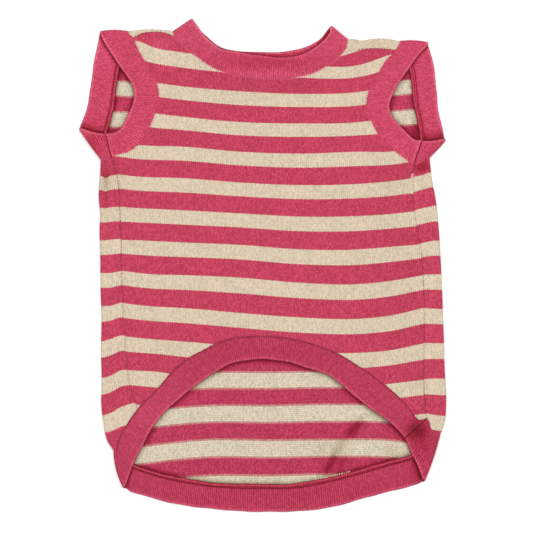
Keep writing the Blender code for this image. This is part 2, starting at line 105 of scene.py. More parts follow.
ARMHOLE_LEFT_BACK = (
    (-109.8, 166.0, -130.3, 168.0),
    (-112.5, 155.7, -132.0, 157.2),
    (-115.7, 135.6, -135.1, 137.1),
    (-117.5, 123.1, -137.0, 126.5),
    (-120.0, 112.6, -139.2, 117.8),
    (-122.4, 104.0, -141.2, 112.1),
    (-124.6, 93.0, -142.6, 108.9),
)
ARMHOLE_RIGHT_FRONT = (
    ("tab", 106.1, 175.2, 128.9, 174.2),
    ("armhole", 103.2, 167.8, 122.6, 166.0),
    ("", 94.9, 158.8, 115.0, 155.9),
    ("", 86.7, 143.8, 105.0, 140.5),
    ("", 82.5, 136.7, 101.0, 132.8),
    ("", 80.4, 126.5, 98.6, 127.0),
    ("", 81.8, 118.4, 98.9, 120.3),
    ("", 84.5, 111.4, 100.6, 115.6),
    ("underarm", 90.2, 101.4, 104.6, 111.0),
    ("", 96.5, 94.5, 108.9, 106.7),
    ("", 103.0, 88.9, 112.9, 102.7),
    ("", 110.1, 83.6, 117.2, 99.0),
    ("flap", 117.0, 78.6, 123.6, 97.8),
    ("", 123.0, 80.2, 132.5, 97.6),
    ("end", 129.0, 83.7, 142.4, 97.7),
)
ARMHOLE_RIGHT_BACK = (
    (111.3, 163.6, 130.6, 166.0),
    (115.0, 154.1, 132.7, 156.0),
    (117.7, 134.9, 135.2, 135.8),
    (119.0, 123.7, 136.3, 124.8),
    (120.8, 115.3, 137.4, 117.5),
    (122.6, 106.4, 139.1, 109.5),
    (123.8, 98.3, 140.4, 103.4),
)
HEM_FRONT = (
    ("flap", -116.8, -144.1, -109.4, -172.3),
    ("", -112.2, -133.9, -101.6, -155.6),
    ("", -106.4, -123.8, -93.2, -139.0),
    ("arch", -97.7, -111.2, -83.5, -122.6),
    ("", -80.9, -93.9, -67.6, -105.3),
    ("", -71.1, -82.4, -58.6, -98.0),
    ("", -58.0, -71.6, -46.8, -89.4),
    ("", -46.3, -65.3, -37.2, -83.2),
    ("", -34.6, -59.4, -28.0, -77.2),
    ("", -21.3, -55.8, -17.8, -74.4),
    ("", -7.2, -54.6, -6.4, -73.1),
    ("", 20.8, -56.4, 18.6, -74.8),
    ("", 46.6, -63.5, 39.8, -81.4),
    ("", 58.3, -68.4, 49.5, -84.8),
    ("", 72.6, -77.0, 59.9, -92.1),
    ("", 93.9, -92.0, 80.4, -109.1),
    ("", 106.4, -103.0, 93.0, -118.3),
    ("", 114.0, -111.4, 101.7, -124.9),
    ("", 121.7, -119.8, 107.5, -131.0),
    ("flap", 126.8, -118.9, 109.9, -133.8),
    ("", 130.7, -127.0, 114.9, -145.2),
    ("", 133.6, -129.3, 119.4, -154.5),
    ("end", 138.2, -131.2, 126.0, -167.9),
)
HEM_BACK = (
    (-111.0, -150.7, -104.2, -175.6),
    (-101.2, -155.6, -95.4, -178.4),
    (-87.6, -160.3, -83.0, -182.3),
    (-61.5, -166.6, -59.0, -187.0),
    (-34.3, -170.2, -33.0, -190.3),
    (5.2, -171.1, 5.2, -191.7),
    (20.8, -171.0, 21.4, -191.8),
    (52.3, -165.5, 54.6, -187.6),
    (83.2, -157.4, 86.6, -179.1),
    (98.8, -152.7, 102.6, -174.7),
    (116.0, -147.8, 115.6, -171.6),
    (128.5, -141.3, 121.4, -169.7),
)
# The back panel's folded outline, and its seams with the front panel. Columns: x, y.
SHOULDER_EDGE_LEFT = ((-93.8, 183.9), (-82.9, 184.3), (-75.9, 183.5))
SHOULDER_EDGE_RIGHT = ((71.0, 176.4), (76.3, 175.5), (84.0, 176.6), (94.5, 176.9))
SHOULDER_SEAM_LEFT = ((-93.8, 181.0), (-85.3, 182.0), (-78.5, 181.8), (-73.5, 180.2))
SHOULDER_SEAM_RIGHT = ((72.3, 167.9), (88.7, 169.2))
SIDE_EDGE_LEFT = (
    (-127.2, 66.9),
    (-127.8, 53.0),
    (-126.9, 40.0),
    (-127.4, 28.0),
    (-126.8, 10.0),
    (-126.6, -20.0),
    (-126.0, -40.0),
    (-126.2, -65.7),
    (-125.7, -92.0),
    (-126.2, -108.6),
    (-124.7, -121.1),
    (-121.3, -135.9),
)
SIDE_EDGE_RIGHT = (
    (131.4, 66.9),
    (134.1, 51.3),
    (135.4, 38.0),
    (137.6, 8.4),
    (139.2, -20.0),
    (140.1, -42.3),
    (141.1, -80.0),
    (142.4, -107.0),
    (141.1, -121.8),
)
SIDE_SEAM_LEFT = (
    (-113.7, 68.5),
    (-111.4, 39.6),
    (-110.2, -7.2),
    (-108.7, -37.6),
    (-106.9, -65.7),
    (-103.6, -93.8),
)
SIDE_SEAM_RIGHT = (
    (116.6, 68.5),
    (117.2, 51.3),
    (118.4, 38.0),
    (122.5, 13.9),
    (125.0, -18.9),
    (125.3, -57.9),
    (125.2, -96.9),
)

# %% [markdown]
# ## Thicknesses and heights
# Two layers of cloth lie on each other. A rib is thicker than the jersey, so the top layer climbs where it
# meets a band. All lengths are in millimetres until a mesh is made.

# %% Cloth sizes
MM = 0.001
JERSEY_WALL = 1.1
RIB_WALL = 2.0
LOWER_JERSEY = 0.6
LOWER_RIB = 1.0
UPPER_RIB = 3.4
UPPER_JERSEY = 2.6
SEAM_SLOPE = 9.0
RIB_FOLD_REACH = (UPPER_RIB - LOWER_RIB) / 2 + RIB_WALL / 2
JERSEY_FOLD_REACH = (UPPER_JERSEY - LOWER_JERSEY) / 2 + JERSEY_WALL / 2
UP = np.array((0.0, 1.0))
LEFT = np.array((-1.0, 0.0))
RIGHT = np.array((1.0, 0.0))

# Grid steps along each stretch of seam. Opposite sides of a patch need the same number.
DETAIL = 6
COARSE_STEPS = {
    "tab": 2,
    "flap": 4,
    "shoulder": 4,
    "neck": 22,
    "armhole": 12,
    "underarm": 5,
    "arch": 40,
    "side": 18,
    "back armhole": 12,
    "hem": 30,
}
STEPS = {name: DETAIL * count for name, count in COARSE_STEPS.items()}
FOLD_STEPS = 10


# %% [markdown]
# ## Smooth lines through a few points
# A seam is a smooth line, but a table holds only a few of its points. A cubic through each pair of rows, with
# the slope of the neighbouring rows at both ends, gives every other point and never kinks.

# %% Smooth lines
def distance_along(points):
    """How far along a line each of its points is."""
    return np.concatenate(([0.0], np.cumsum(np.linalg.norm(np.diff(points, axis=0), axis=1))))


def smooth_curve(rows, marks, steps):
    """Read a smooth curve through the rows in even steps between the marked rows.

    With t from 0 to 1 between two rows p and q whose slopes are m and n, and L the distance between them:
    (2t^3 - 3t^2 + 1) p + (t^3 - 2t^2 + t) L m + (3t^2 - 2t^3) q + (t^3 - t^2) L n.
    """
    knots = distance_along(rows)
    slopes = np.gradient(rows, knots, axis=0)
    stretches = []
    for start, end, count in zip(marks[:-1], marks[1:], steps):
        at = np.linspace(knots[start], knots[end], count + 1)
        row = np.clip(np.searchsorted(knots, at, side="right") - 1, 0, len(rows) - 2)
        span = (knots[row + 1] - knots[row])[:, None]
        t = (at - knots[row])[:, None] / span
        stretches.append(
            (2 * t**3 - 3 * t**2 + 1) * rows[row]
            + (t**3 - 2 * t**2 + t) * span * slopes[row]
            + (3 * t**2 - 2 * t**3) * rows[row + 1]
            + (t**3 - t**2) * span * slopes[row + 1]
        )
    return stretches


def smooth_line(rows, steps):
    """One smooth line through all the rows."""
    rows = np.array(rows, dtype=float)
    return smooth_curve(rows, (0, len(rows) - 1), (steps,))[0]


def band_rows(table, first_bulge, last_bulge):
    """A band's rows as numbers, with the outsides of its folds brought in to the lines it turns about."""
    rows = np.array([row[1:] for row in table])
    rows[0] -= RIB_FOLD_REACH * np.tile(first_bulge, 2)
    rows[-1] -= RIB_FOLD_REACH * np.tile(last_bulge, 2)
    return rows


def seam_stretches(table, first_bulge, last_bulge):
    """The seam edge of each named stretch of a band, by name and in order."""
    marks = [index for index, row in enumerate(table) if row[0]]
    steps = [STEPS[table[mark][0]] for mark in marks[:-1]]
    return [part[:, :2] for part in smooth_curve(band_rows(table, first_bulge, last_bulge), marks, steps)]


def away_from_band(row, next_row):
    """The level direction square to a fold's section, pointing away from the band."""
    step = np.array(row[3:]) - row[1:3]
    square = np.array((-step[1], step[0])) / np.linalg.norm(step)
    return -np.sign(square @ (np.array(next_row[1:3]) - row[1:3])) * square


def back_table(front, between, stretch):
    """A band's back half as a table like its front's, with the same first and last places."""
    return ((stretch, *front[0][1:]), *(("", *row) for row in between), ("end", *front[-1][1:]))


# Each band's front and back tables, and the directions in which its first and last folds bulge.
BANDS = {
    name: (
        front,
        back_table(front, between, stretch),
        away_from_band(front[0], front[1]),
        away_from_band(front[-1], front[-2]),
    )
    for name, front, between, stretch in (
        ("neck", NECK_FRONT, NECK_BACK, "neck"),
        ("armhole left", ARMHOLE_LEFT_FRONT, ARMHOLE_LEFT_BACK, "back armhole"),
        ("armhole right", ARMHOLE_RIGHT_FRONT, ARMHOLE_RIGHT_BACK, "back armhole"),
        ("hem", HEM_FRONT, HEM_BACK, "hem"),
    )
}
front_seams = {name: seam_stretches(front, *bulges) for name, (front, back, *bulges) in BANDS.items()}
back_seams = {name: seam_stretches(back, *bulges)[0] for name, (front, back, *bulges) in BANDS.items()}
for name, stretches in front_seams.items():
    length = sum(distance_along(part)[-1] for part in stretches)
    print(f"{name}: front seam {length:.0f} mm in {len(stretches)} stretches")

# %% The panels' own seams and folds
neck, arm_left, arm_right, hem = front_seams.values()


def through(name, start, between, end):
    """A smooth line from start to end through the rows between. Its name's first word gives its steps."""
    return smooth_line(np.vstack((start, between, end)), STEPS[name.split()[0]])


folds = {
    name: through(name, start, np.array(edge) - JERSEY_FOLD_REACH * bulge, end)
    for name, start, edge, end, bulge in (
        ("shoulder left", arm_left[0][0], SHOULDER_EDGE_LEFT, neck[0][0], UP),
        ("shoulder right", neck[-1][-1], SHOULDER_EDGE_RIGHT, arm_right[0][0], UP),
        ("side left", arm_left[-1][-1], SIDE_EDGE_LEFT, hem[0][0], LEFT),
        ("side right", arm_right[-1][-1], SIDE_EDGE_RIGHT, hem[-1][-1], RIGHT),
    )
}
seams = {
    name: through(name, start, between, end)
    for name, start, between, end in (
        ("shoulder left", arm_left[1][0], SHOULDER_SEAM_LEFT, neck[1][0]),
        ("shoulder right", neck[1][-1], SHOULDER_SEAM_RIGHT, arm_right[1][0]),
        ("side left", arm_left[2][-1], SIDE_SEAM_LEFT, hem[1][0]),
        ("side right", arm_right[2][-1], SIDE_SEAM_RIGHT, hem[1][-1]),
    )
}
print("panel seams in mm:", {name: round(distance_along(line)[-1]) for name, line in seams.items()})

# %% [markdown]
# ## Stripes follow the knitting
# The stripes were made by changing yarn every few courses (rows of stitches), so a stripe bends wherever the
# cloth was pulled. Painting them straight would look printed. Instead each stripe's top edge gets a row in a
# table, and a point's course number is worked out from the two edges that it lies between. The course number
# and the wale number (the column of stitches) together are the cloth's UV map, which the knit material reads.

# %% Stripe tables
# Each column is at one x, and each row holds the heights y at which one cream stripe starts.
FRONT_X = (-114, -96, -85, -65, -18, 29, 75, 99, 125)
FRONT_STRIPES = (
    (201, 198, 196, 193, 182, 160.5, 176.5, 187, 190),
    (177.5, 174.5, 170, 166.5, 160.5, 156.5, 156.5, 164.5, 171.5),
    (145, 143, 142.5, 140, 136, 134, 135.5, 139.5, 143.5),
    (124.5, 121.5, 119, 116.5, 112, 111, 112, 115.5, 120),
    (96.5, 94, 93.5, 93, 89, 87.5, 89, 89, 93.5),
    (71.5, 69.5, 69, 68.5, 65, 63, 64, 66, 70),
    (46.5, 45, 44.5, 43.5, 41, 38.5, 39, 40.5, 43.5),
    (20.5, 20, 19.5, 18.5, 16.5, 13, 13, 15, 17),
    (-3, -5.5, -6.5, -7, -9, -13, -14, -11.5, -7),
    (-28, -30.5, -31.5, -32.5, -36.5, -40, -41, -38.5, -32.5),
    (-54, -56, -57, -58.5, -62.5, -66.5, -67.5, -65.5, -60),
    (-80.5, -81.5, -82, -85, -89, -93, -94, -91.5, -88.5),
    (-105.5, -108, -109.5, -111, -115.5, -119.5, -120.5, -118, -115),
)
BACK_X = (-127, -96, -42, 5, 52, 99, 139)
BACK_STRIPES = (
    (191.5, 191.5, 191.5, 188, 187.5, 185.5, 184.5),
    (168.5, 168.5, 168.5, 165, 161.5, 160, 160),
    (145.5, 142, 142, 142.5, 142.5, 143.5, 147.5),
    (120, 119, 118.5, 118.5, 119, 120, 124),
    (95, 94, 93.5, 93.5, 94, 96, 97.5),
    (70, 69.5, 69.5, 69.5, 69.5, 70, 72.5),
    (45, 44.5, 44.5, 44.5, 44.5, 45, 47),
    (20, 19.5, 19.5, 19.5, 19.5, 19.5, 19.5),
    (-5.5, -5.5, -6, -6.5, -6.5, -6.5, -6.5),
    (-31.5, -31.5, -31.5, -31.5, -32, -32, -33.5),
    (-58.5, -58, -57, -57, -58, -58.5, -60),
    (-87, -86.5, -83.5, -83.5, -83, -84.5, -87.5),
    (-117, -114, -109.5, -109.5, -108.5, -110, -116.5),
    (-145, -141.5, -136, -136.5, -136, -136.5, -143),
    (-175, -169.5, -164, -164, -163, -164, -170),
    (-203, -198.5, -192, -192, -191.5, -192, -197.5),
)
# The turned-over edges were pulled a little out of line with the floor below them.
FLAP_LEFT_X = (-126.5, -122.5, -119.5, -110.5, -101.5)
FLAP_LEFT_STRIPES = (
    (95, 95, 95, 95.5, 94.5),
    (70.5, 68.5, 70, 71, 70.5),
    (45.5, 45, 45.5, 46, 45.5),
    (20, 20, 20.5, 21, 20.5),
    (-5.5, -5.5, -5.5, -4, -5),
    (-31.5, -31, -31, -28.5, -30),
    (-59, -58, -57, -54, -55.5),
    (-87, -86.5, -85.5, -81, -81),
    (-117, -115.5, -114.5, -109.5, -106.5),
    (-147.5, -147, -146.5, -144, -142.5),
)
FLAP_RIGHT_X = (116.5, 122, 131.5, 138.5)
FLAP_RIGHT_STRIPES = (
    (93.5, 95, 96.5, 97),
    (69, 70.5, 73.5, 75),
    (43, 44.5, 46.5, 47.5),
    (16.5, 17.5, 19.5, 20),
    (-8.5, -7, -6.5, -6.5),
    (-34.5, -33, -33, -33.5),
    (-61.5, -60, -60, -60),
    (-89.5, -88.5, -87.5, -87.5),
    (-115.5, -114, -115.5, -116.5),
    (-142, -141.5, -142, -143),
)
FLAP_FIRST_STRIPE = 4

# Eight cream courses, then ten rose ones. Real fine jersey has about twice as many, too fine to show here.
COURSES = 18
CREAM_COURSES = 8
WALE_MM = 1.6

# How finely a stripe's edge is read between the columns of its table.
STRIPE_STEPS = 80


# %% Course numbers
def course_number(plan, columns, stripes, first=0):
    """Courses knitted above each point: the whole stripes above it, and its share of the stripe it is in.

    The share is the drop from the stripe's start, over the drop to the next stripe's start. Adding the
    clipped shares of all the stripes counts the whole ones too.
    """
    x, y = plan[..., 0], plan[..., 1]
    edges = []
    for row in stripes:
        line = smooth_line(np.column_stack((columns, row)), STRIPE_STEPS)
        edges.append(np.interp(x, line[:, 0], line[:, 1]))
    edges = np.array(edges)
    share = (edges[:-1] - y) / (edges[:-1] - edges[1:])
    low = np.zeros(len(share))
    high = np.ones(len(share))
    low[0], high[-1] = -np.inf, np.inf
    shape = (len(share),) + (1,) * x.ndim
    return COURSES * (first + np.clip(share, low.reshape(shape), high.reshape(shape)).sum(axis=0))


repeat_mm = -np.diff(FRONT_STRIPES[2:], axis=0).mean()
print(f"the stripes repeat every {repeat_mm:.1f} mm, so a course is about {repeat_mm / COURSES:.2f} mm high")

# %% [markdown]
# ## Folds and puckers
# Cloth that was worn and pressed flat keeps soft ridges, and a seam sewn with a tight thread draws it into
# small puckers. They are low, so they are simply added to the height of the layer. Each ridge has a row of
# its own, because real ones are never alike.

# %% Creases
# Columns: middle x, middle y, heading in degrees from +X, length, width, height.
UPPER_CREASES = (
    (-119.0, 20.0, 91.0, 90.0, 7.0, 0.9),
    (-118.0, -70.0, 88.0, 60.0, 7.0, 0.8),
    (132.0, 5.0, 86.0, 110.0, 7.0, 1.0),
    (134.0, -80.0, 89.0, 60.0, 7.0, 0.8),
    (-92.0, 74.0, -28.0, 40.0, 9.0, 0.8),
    (94.0, 72.0, 205.0, 44.0, 9.0, 0.9),
    (84.0, 160.0, 78.0, 16.0, 7.0, 0.8),
    (-72.0, -62.0, 62.0, 60.0, 11.0, 0.6),
    (92.0, -62.0, 118.0, 60.0, 11.0, 0.7),
    (-122.6, 58.0, 92.0, 30.0, 1.3, -1.2),
    (-126.0, 60.0, 94.0, 26.0, 1.8, 0.6),
    (-118.6, 66.0, 80.0, 20.0, 2.0, 0.9),
    (-113.0, 70.0, -50.0, 14.0, 1.8, -0.8),
    (123.0, 66.0, 70.0, 22.0, 2.4, -0.6),
    (108.0, 70.0, 35.0, 16.0, 3.0, 0.5),
    (76.0, 172.0, -35.0, 12.0, 2.2, -0.6),
    (88.0, 172.5, 20.0, 12.0, 2.4, 0.5),
    (-88.0, 181.0, 8.0, 14.0, 1.6, 0.4),
    (40.0, 40.0, 12.0, 50.0, 5.0, 0.25),
    (-40.0, 70.0, -14.0, 60.0, 6.0, 0.25),
    (-30.0, -10.0, 5.0, 70.0, 7.0, 0.25),
    (70.0, -20.0, 100.0, 40.0, 6.0, 0.3),
)
LOWER_CREASES = (
    (66.0, -146.0, 80.0, 36.0, 2.6, 0.95),
    (76.0, -138.0, 62.0, 32.0, 2.8, 0.9),
    (82.0, -132.0, 118.0, 26.0, 2.8, 0.8),
    (54.0, -158.0, 70.0, 22.0, 2.4, 0.8),
    (20.0, -140.0, 82.0, 34.0, 3.4, 0.5),
    (-20.0, -128.0, 96.0, 40.0, 4.0, 0.5),
    (-58.0, -140.0, 118.0, 34.0, 3.6, 0.6),
    (-84.0, -150.0, 128.0, 18.0, 2.6, 0.4),
    (-110.0, 138.0, 70.0, 26.0, 3.0, 0.35),
    (109.0, 128.0, 100.0, 24.0, 3.0, 0.35),
)


def bell(distance, reach):
    """A soft bump, exp(-(distance / reach)^2): one in its middle, and almost nothing past twice its reach."""
    return np.exp(-((distance / reach) ** 2))


def creases(plan, rows):
    """Sum of soft ridges: height * bell(across, width) * exp(-(2 along / length)^4)."""
    total = np.zeros(plan.shape[:-1])
    for x, y, heading, length, width, rise in rows:
        angle = np.radians(heading)
        along = (plan[..., 0] - x) * np.cos(angle) + (plan[..., 1] - y) * np.sin(angle)
        across = (plan[..., 1] - y) * np.cos(angle) - (plan[..., 0] - x) * np.sin(angle)
        total += rise * bell(across, width) * np.exp(-((2 * along / length) ** 4))
    return total


def nearest_on(plan, lines):
    """Distance from each point to the nearest of several lines, and how far along that line it is."""
    points = plan.reshape(-1, 2)
    nearest = np.full(len(points), np.inf)
    place = np.zeros(len(points))
    row = np.arange(len(points))
    for line in lines:
        step = np.diff(line, axis=0)
        lengths = np.linalg.norm(step, axis=1)
        along = ((points[:, None] - line[None, :-1]) * step).sum(axis=2) / lengths**2
        along = np.clip(along, 0.0, 1.0)
        gap = np.linalg.norm(points[:, None] - line[None, :-1] - along[:, :, None] * step, axis=2)
        best = gap.argmin(axis=1)
        closer = gap[row, best] < nearest
        nearest = np.where(closer, gap[row, best], nearest)
        place = np.where(closer, distance_along(line)[best] + along[row, best] * lengths[best], place)
    return nearest.reshape(plan.shape[:-1]), place.reshape(plan.shape[:-1])


PUCKER_MM = 5.2
PUCKER_RISE = 0.32
PUCKER_REACH = 4.5
# Over these lengths along a seam the puckers crowd together, and grow and fade.
CROWDING_MM = 7.3
FADING_MM = 11.0
# How strongly the band seams pucker each layer, next to the panels' own seams.
UPPER_BAND_PUCKERS = 0.5
LOWER_BAND_PUCKERS = 0.6
GROOVE_DEPTH = 0.75
GROOVE_REACH = 0.9

upper_band_seams = [np.vstack(parts)[:: DETAIL // 2] for parts in front_seams.values()]
lower_band_seams = [line[:: DETAIL // 2] for line in back_seams.values()]
panel_seams = [line[:: DETAIL // 2] for line in seams.values()]


def puckers(distance, place):
    """Small waves along a seam, uneven because slower waves shift and weaken them, fading away from it."""
    wave = np.sin(2 * np.pi * place / PUCKER_MM + 1.7 * np.sin(place / CROWDING_MM))
    wave *= 0.65 + 0.35 * np.sin(place / FADING_MM)
    return PUCKER_RISE * wave * bell(distance, PUCKER_REACH)


def upper_height(plan):
    """Middle of the upper jersey: its own level, up at the bands, down in the grooves of its own seams."""
    to_band, along_band = nearest_on(plan, upper_band_seams)
    to_seam, along_seam = nearest_on(plan, panel_seams)
    near_band = bell(to_band, SEAM_SLOPE)
    height = UPPER_JERSEY + (UPPER_RIB - UPPER_JERSEY) * near_band
    height += creases(plan, UPPER_CREASES) * (1 - near_band)
    height += puckers(to_seam, along_seam) + UPPER_BAND_PUCKERS * puckers(to_band, along_band)
    height -= GROOVE_DEPTH * bell(to_seam, GROOVE_REACH)
    return height


def lower_height(plan):
    """Middle of the lower jersey, which rests on the surface and rises a little in its creases."""
    rise = creases(plan, LOWER_CREASES) + LOWER_BAND_PUCKERS * puckers(*nearest_on(plan, lower_band_seams))
    return LOWER_JERSEY + np.maximum(rise, 0.0)


# %% [markdown]
# ## Panels as patches
# A panel has four sides, so it can be filled the way a tent maker would: stretch lines from left to right and
# from top to bottom, and average them. That grid ends exactly on the seams, which a grid cut out of a
# rectangle would not, and its rows run with the stripes.

# %% Patches and folds
def filled_patch(top, right, bottom, left):
    """Fill the space between four lines with a grid of plan points.

    Top and bottom run left to right, left and right run down. A point inside is the blend of the two points
    across from it, plus the blend of the two above and below it, less the blend of the corners.
    """
    u = np.linspace(0.0, 1.0, len(top))[None, :, None]
    v = np.linspace(0.0, 1.0, len(left))[:, None, None]
    across = (1 - u) * left[:, None] + u * right[:, None]
    down = (1 - v) * top[None] + v * bottom[None]
    corners = (1 - v) * ((1 - u) * top[0] + u * top[-1]) + v * ((1 - u) * bottom[0] + u * bottom[-1])
    return across + down - corners


def joined(*lines):
    """Several lines end to end as one, each corner point kept once."""
    return np.vstack([lines[0]] + [line[1:] for line in lines[1:]])


def at_height(plan, height):
    """Plan points with their height as a third coordinate."""
    return np.concatenate((plan, np.broadcast_to(height, plan.shape[:-1])[..., None]), axis=-1)


def half_turn(lower, upper, bulge):
    """The fold from a lower edge to the upper edge above it: a half circle in the direction of the bulge."""
    turn = np.linspace(0.0, np.pi, FOLD_STEPS + 1)[:, None, None]
    share = turn / np.pi
    centre = (1 - share) * lower[None] + share * upper[None]
    radius = (upper[None, :, 2:] - lower[None, :, 2:]) / 2
    middle = (lower[None, :, 2:] + upper[None, :, 2:]) / 2
    plan = centre[..., :2] + radius * np.sin(turn) * bulge
    return np.concatenate((plan, middle - radius * np.cos(turn)), axis=-1)


def with_uv(points, wales, courses, shade=1.0):
    """A grid of points with its UV map and its own shade beside it."""
    uv = np.stack(np.broadcast_arrays(wales, courses), axis=-1)
    return points, uv, np.broadcast_to(shade, points.shape[:-1])


# %% [markdown]
# ## From grids to meshes
# Every piece ends as one mesh: its grids are stacked, the edges they share are merged, and the faces are
# turned to point outwards. A shade attribute goes with each point. It holds how much darker or lighter the
# cloth is painted there, mostly painted shade and painted light with some uneven tone, which is cheaper
# than a material for each dusky spot.

# %% Shade patches
# Columns: piece, x, y, reach along x, reach along y, share of brightness lost (negative where it gains), and
# how far the stitches are stretched open, which deepens the painted shade in their grooves. Most patches are
# painted shade and painted light: shadows under a band's tip, beside a seam cord and at a join, and light on
# a puffed stripe. The rest make a stretch of cloth darker or lighter.
SHADE_PATCHES = (
    ("armhole_rib_left", -134.0, 95.0, 9.0, 10.0, 0.16, 1.2),
    ("armhole_rib_left", -128.5, 95.0, 6.0, 8.0, 0.02, 2.6),
    ("armhole_rib_left", -139.0, 103.0, 4.0, 4.0, -0.12, 0.0),
    ("armhole_rib_left", -124.0, 165.0, 8.0, 14.0, -0.07, 0.0),
    ("armhole_rib_left", -98.0, 99.0, 9.0, 8.0, -0.03, 2.4),
    ("armhole_rib_right", 106.0, 93.0, 11.0, 9.0, -0.02, 2.4),
    ("armhole_rib_right", 131.0, 90.0, 9.0, 6.0, 0.03, 0.6),
    ("neck_rib", 0.0, 159.0, 46.0, 9.0, 0.16, 0.4),
    ("neck_rib", 0.0, 149.5, 32.0, 3.4, -0.07, 1.3),
    ("front_panel_knit", -80.0, 172.0, 9.0, 5.0, -0.12, 0.0),
    ("front_panel_knit", -118.0, 70.0, 5.0, 12.0, 0.06, 1.0),
    ("back_panel_knit", 80.0, 174.0, 30.0, 2.5, 0.08, 0.0),
    ("back_panel_knit", -122.0, 70.0, 5.0, 16.0, 0.04, 1.4),
    ("back_panel_knit", -121.8, 67.0, 2.2, 5.0, 0.2, 0.0),
    ("back_panel_knit", 122.5, 77.5, 6.0, 4.5, 0.42, 0.0),
    ("back_panel_knit", -119.0, -30.0, 9.0, 95.0, -0.015, 0.0),
    ("back_panel_knit", 133.0, -20.0, 9.0, 95.0, -0.025, 0.0),
    ("back_panel_knit", 118.5, 58.0, 1.6, 22.0, -0.1, 0.0),
    ("hem_rib", 20.0, -65.0, 70.0, 14.0, 0.04, 0.2),
    ("hem_rib", -90.0, -115.0, 30.0, 30.0, -0.05, 0.0),
    ("hem_rib", 119.5, -128.0, 7.0, 7.0, 0.6, 2.6),
    ("hem_rib", 124.0, -142.0, 11.0, 14.0, 0.1, 1.6),
    ("hem_rib", 0.0, -181.0, 120.0, 16.0, 0.04, 1.2),
    ("back_panel_knit", 60.0, -140.0, 40.0, 18.0, 0.03, 0.4),
    ("back_panel_knit", 118.5, 105.0, 3.0, 9.0, 0.45, 0.0),
    ("front_panel_knit", 108.0, 20.0, 16.0, 120.0, 0.0, 0.5),
    ("front_panel_knit", 0.0, 140.0, 60.0, 12.0, 0.0, 0.4),
    ("front_panel_knit", 114.5, 63.0, 2.6, 7.0, -0.12, 1.5),
)

# Painted shade of wrinkles in the lower layer, inside the hem, and painted light where the share is negative.
# Columns: middle x, middle y, heading in degrees from +X, length, width, share of brightness lost.
PAINTED_WRINKLE_SHADE = (
    (70.9, -126.3, 48.0, 18.0, 3.2, 0.42),
    (58.7, -142.5, 48.0, 18.0, 3.6, 0.3),
    (51.9, -155.2, 63.0, 18.0, 3.0, 0.4),
    (61.4, -154.6, 65.0, 14.0, 2.6, 0.2),
    (44.0, -143.0, 60.0, 12.0, 3.0, 0.1),
    (74.5, -141.5, 50.0, 14.0, 4.5, -0.08),
    (84.0, -128.0, 40.0, 14.0, 5.0, -0.09),
    (100.0, -146.0, 120.0, 14.0, 4.0, 0.14),
)


def patch_shade_and_openness(name, points):
    """Shade (one less the share lost, mostly painted shade and light) and openness per point, each patch a
    bell both ways.
    """
    shade = np.ones(points.shape[:-1])
    open_share = np.zeros(points.shape[:-1])
    for piece_name, x, y, reach_x, reach_y, lost, opened in SHADE_PATCHES:
        if piece_name == name:
            near = bell(points[..., 0] - x, reach_x) * bell(points[..., 1] - y, reach_y)
            shade -= lost * near
            open_share += opened * near
    return shade, open_share


# The edge of a fold turns away from the light: this share of brightness is lost there.
OUTLINE_SHADE = 0.3
fold_shade = 1 - OUTLINE_SHADE * np.sin(np.linspace(0.0, np.pi, FOLD_STEPS + 1))[:, None] ** 4


# %% Mesh maker
# Points closer than this, in millimetres, are the same point of two grids.
SHARED_POINT = 0.002


def grid_faces(rows, columns, first=0, wrap_columns=False):
    """Quads of a grid of points, as indices from first on. Wrapped columns join the last to the first."""
    row, column = (index.ravel() for index in np.mgrid[: rows - 1, : columns - (not wrap_columns)])
    corner = first + row * columns
    beside = (column + 1) % columns
    quads = (corner + column, corner + columns + column, corner + columns + beside, corner + beside)
    return np.column_stack(quads)


def mesh_piece(name, points, faces, uv, materials, merge=0.0, own_shade=1.0):
    """Make an object from points in millimetres, with a UV map, painted shade and openness attributes and
    materials.

    Faces is a list of arrays of indices, some of quads and some of triangles.
    """
    mesh = bpy.data.meshes.new(name)
    mesh.from_pydata((points * MM).tolist(), [], sum((part.tolist() for part in faces), []))
    corners = np.concatenate([part.ravel() for part in faces])
    mesh.uv_layers.new(name="knit").data.foreach_set("uv", uv[corners].ravel())
    # The shade attribute holds painted shade and light from the patches, times the piece's own painted shade.
    shade, open_share = patch_shade_and_openness(name, points)
    for attribute, values in (("shade", shade * own_shade), ("open", open_share)):
        mesh.attributes.new(attribute, "FLOAT", "POINT").data.foreach_set("value", values)
    for material in materials:
        mesh.materials.append(material)
    shell = bmesh.new()
    shell.from_mesh(mesh)
    if merge:
        bmesh.ops.remove_doubles(shell, verts=shell.verts, dist=merge * MM)
    bmesh.ops.recalc_face_normals(shell, faces=shell.faces)
    shell.to_mesh(mesh)
    shell.free()
    mesh.shade_smooth()
    piece = bpy.data.objects.new(name, mesh)
    bpy.context.scene.collection.objects.link(piece)
    print(f"{name}: {len(mesh.vertices)} points, {len(mesh.polygons)} faces")
    return piece


def knit_sheet(name, grids, materials, top_face):
    """Sew grids into one open sheet, face side out, and give it the jersey's wall.

    Top_face is a point on top of the finished sheet where its face side shows.
    """
    faces = []
    first = 0
    for points, uv, shade in grids:
        faces.append(grid_faces(*points.shape[:2], first))
        first += points.shape[0] * points.shape[1]
    points = np.vstack([points.reshape(-1, 3) for points, uv, shade in grids])
    uv = np.vstack([uv.reshape(-1, 2) for points, uv, shade in grids])
    shade = np.concatenate([shade.ravel() for points, uv, shade in grids])
    piece = mesh_piece(name, points, faces, uv, materials, SHARED_POINT, shade)
    normal = piece.closest_point_on_mesh(Vector(top_face) * MM)[2]
    if normal.z < 0:
        piece.data.flip_normals()
    wall = piece.modifiers.new("wall", "SOLIDIFY")
    wall.thickness = JERSEY_WALL * MM
    wall.offset = 0.0
    wall.material_offset = 1
    return piece


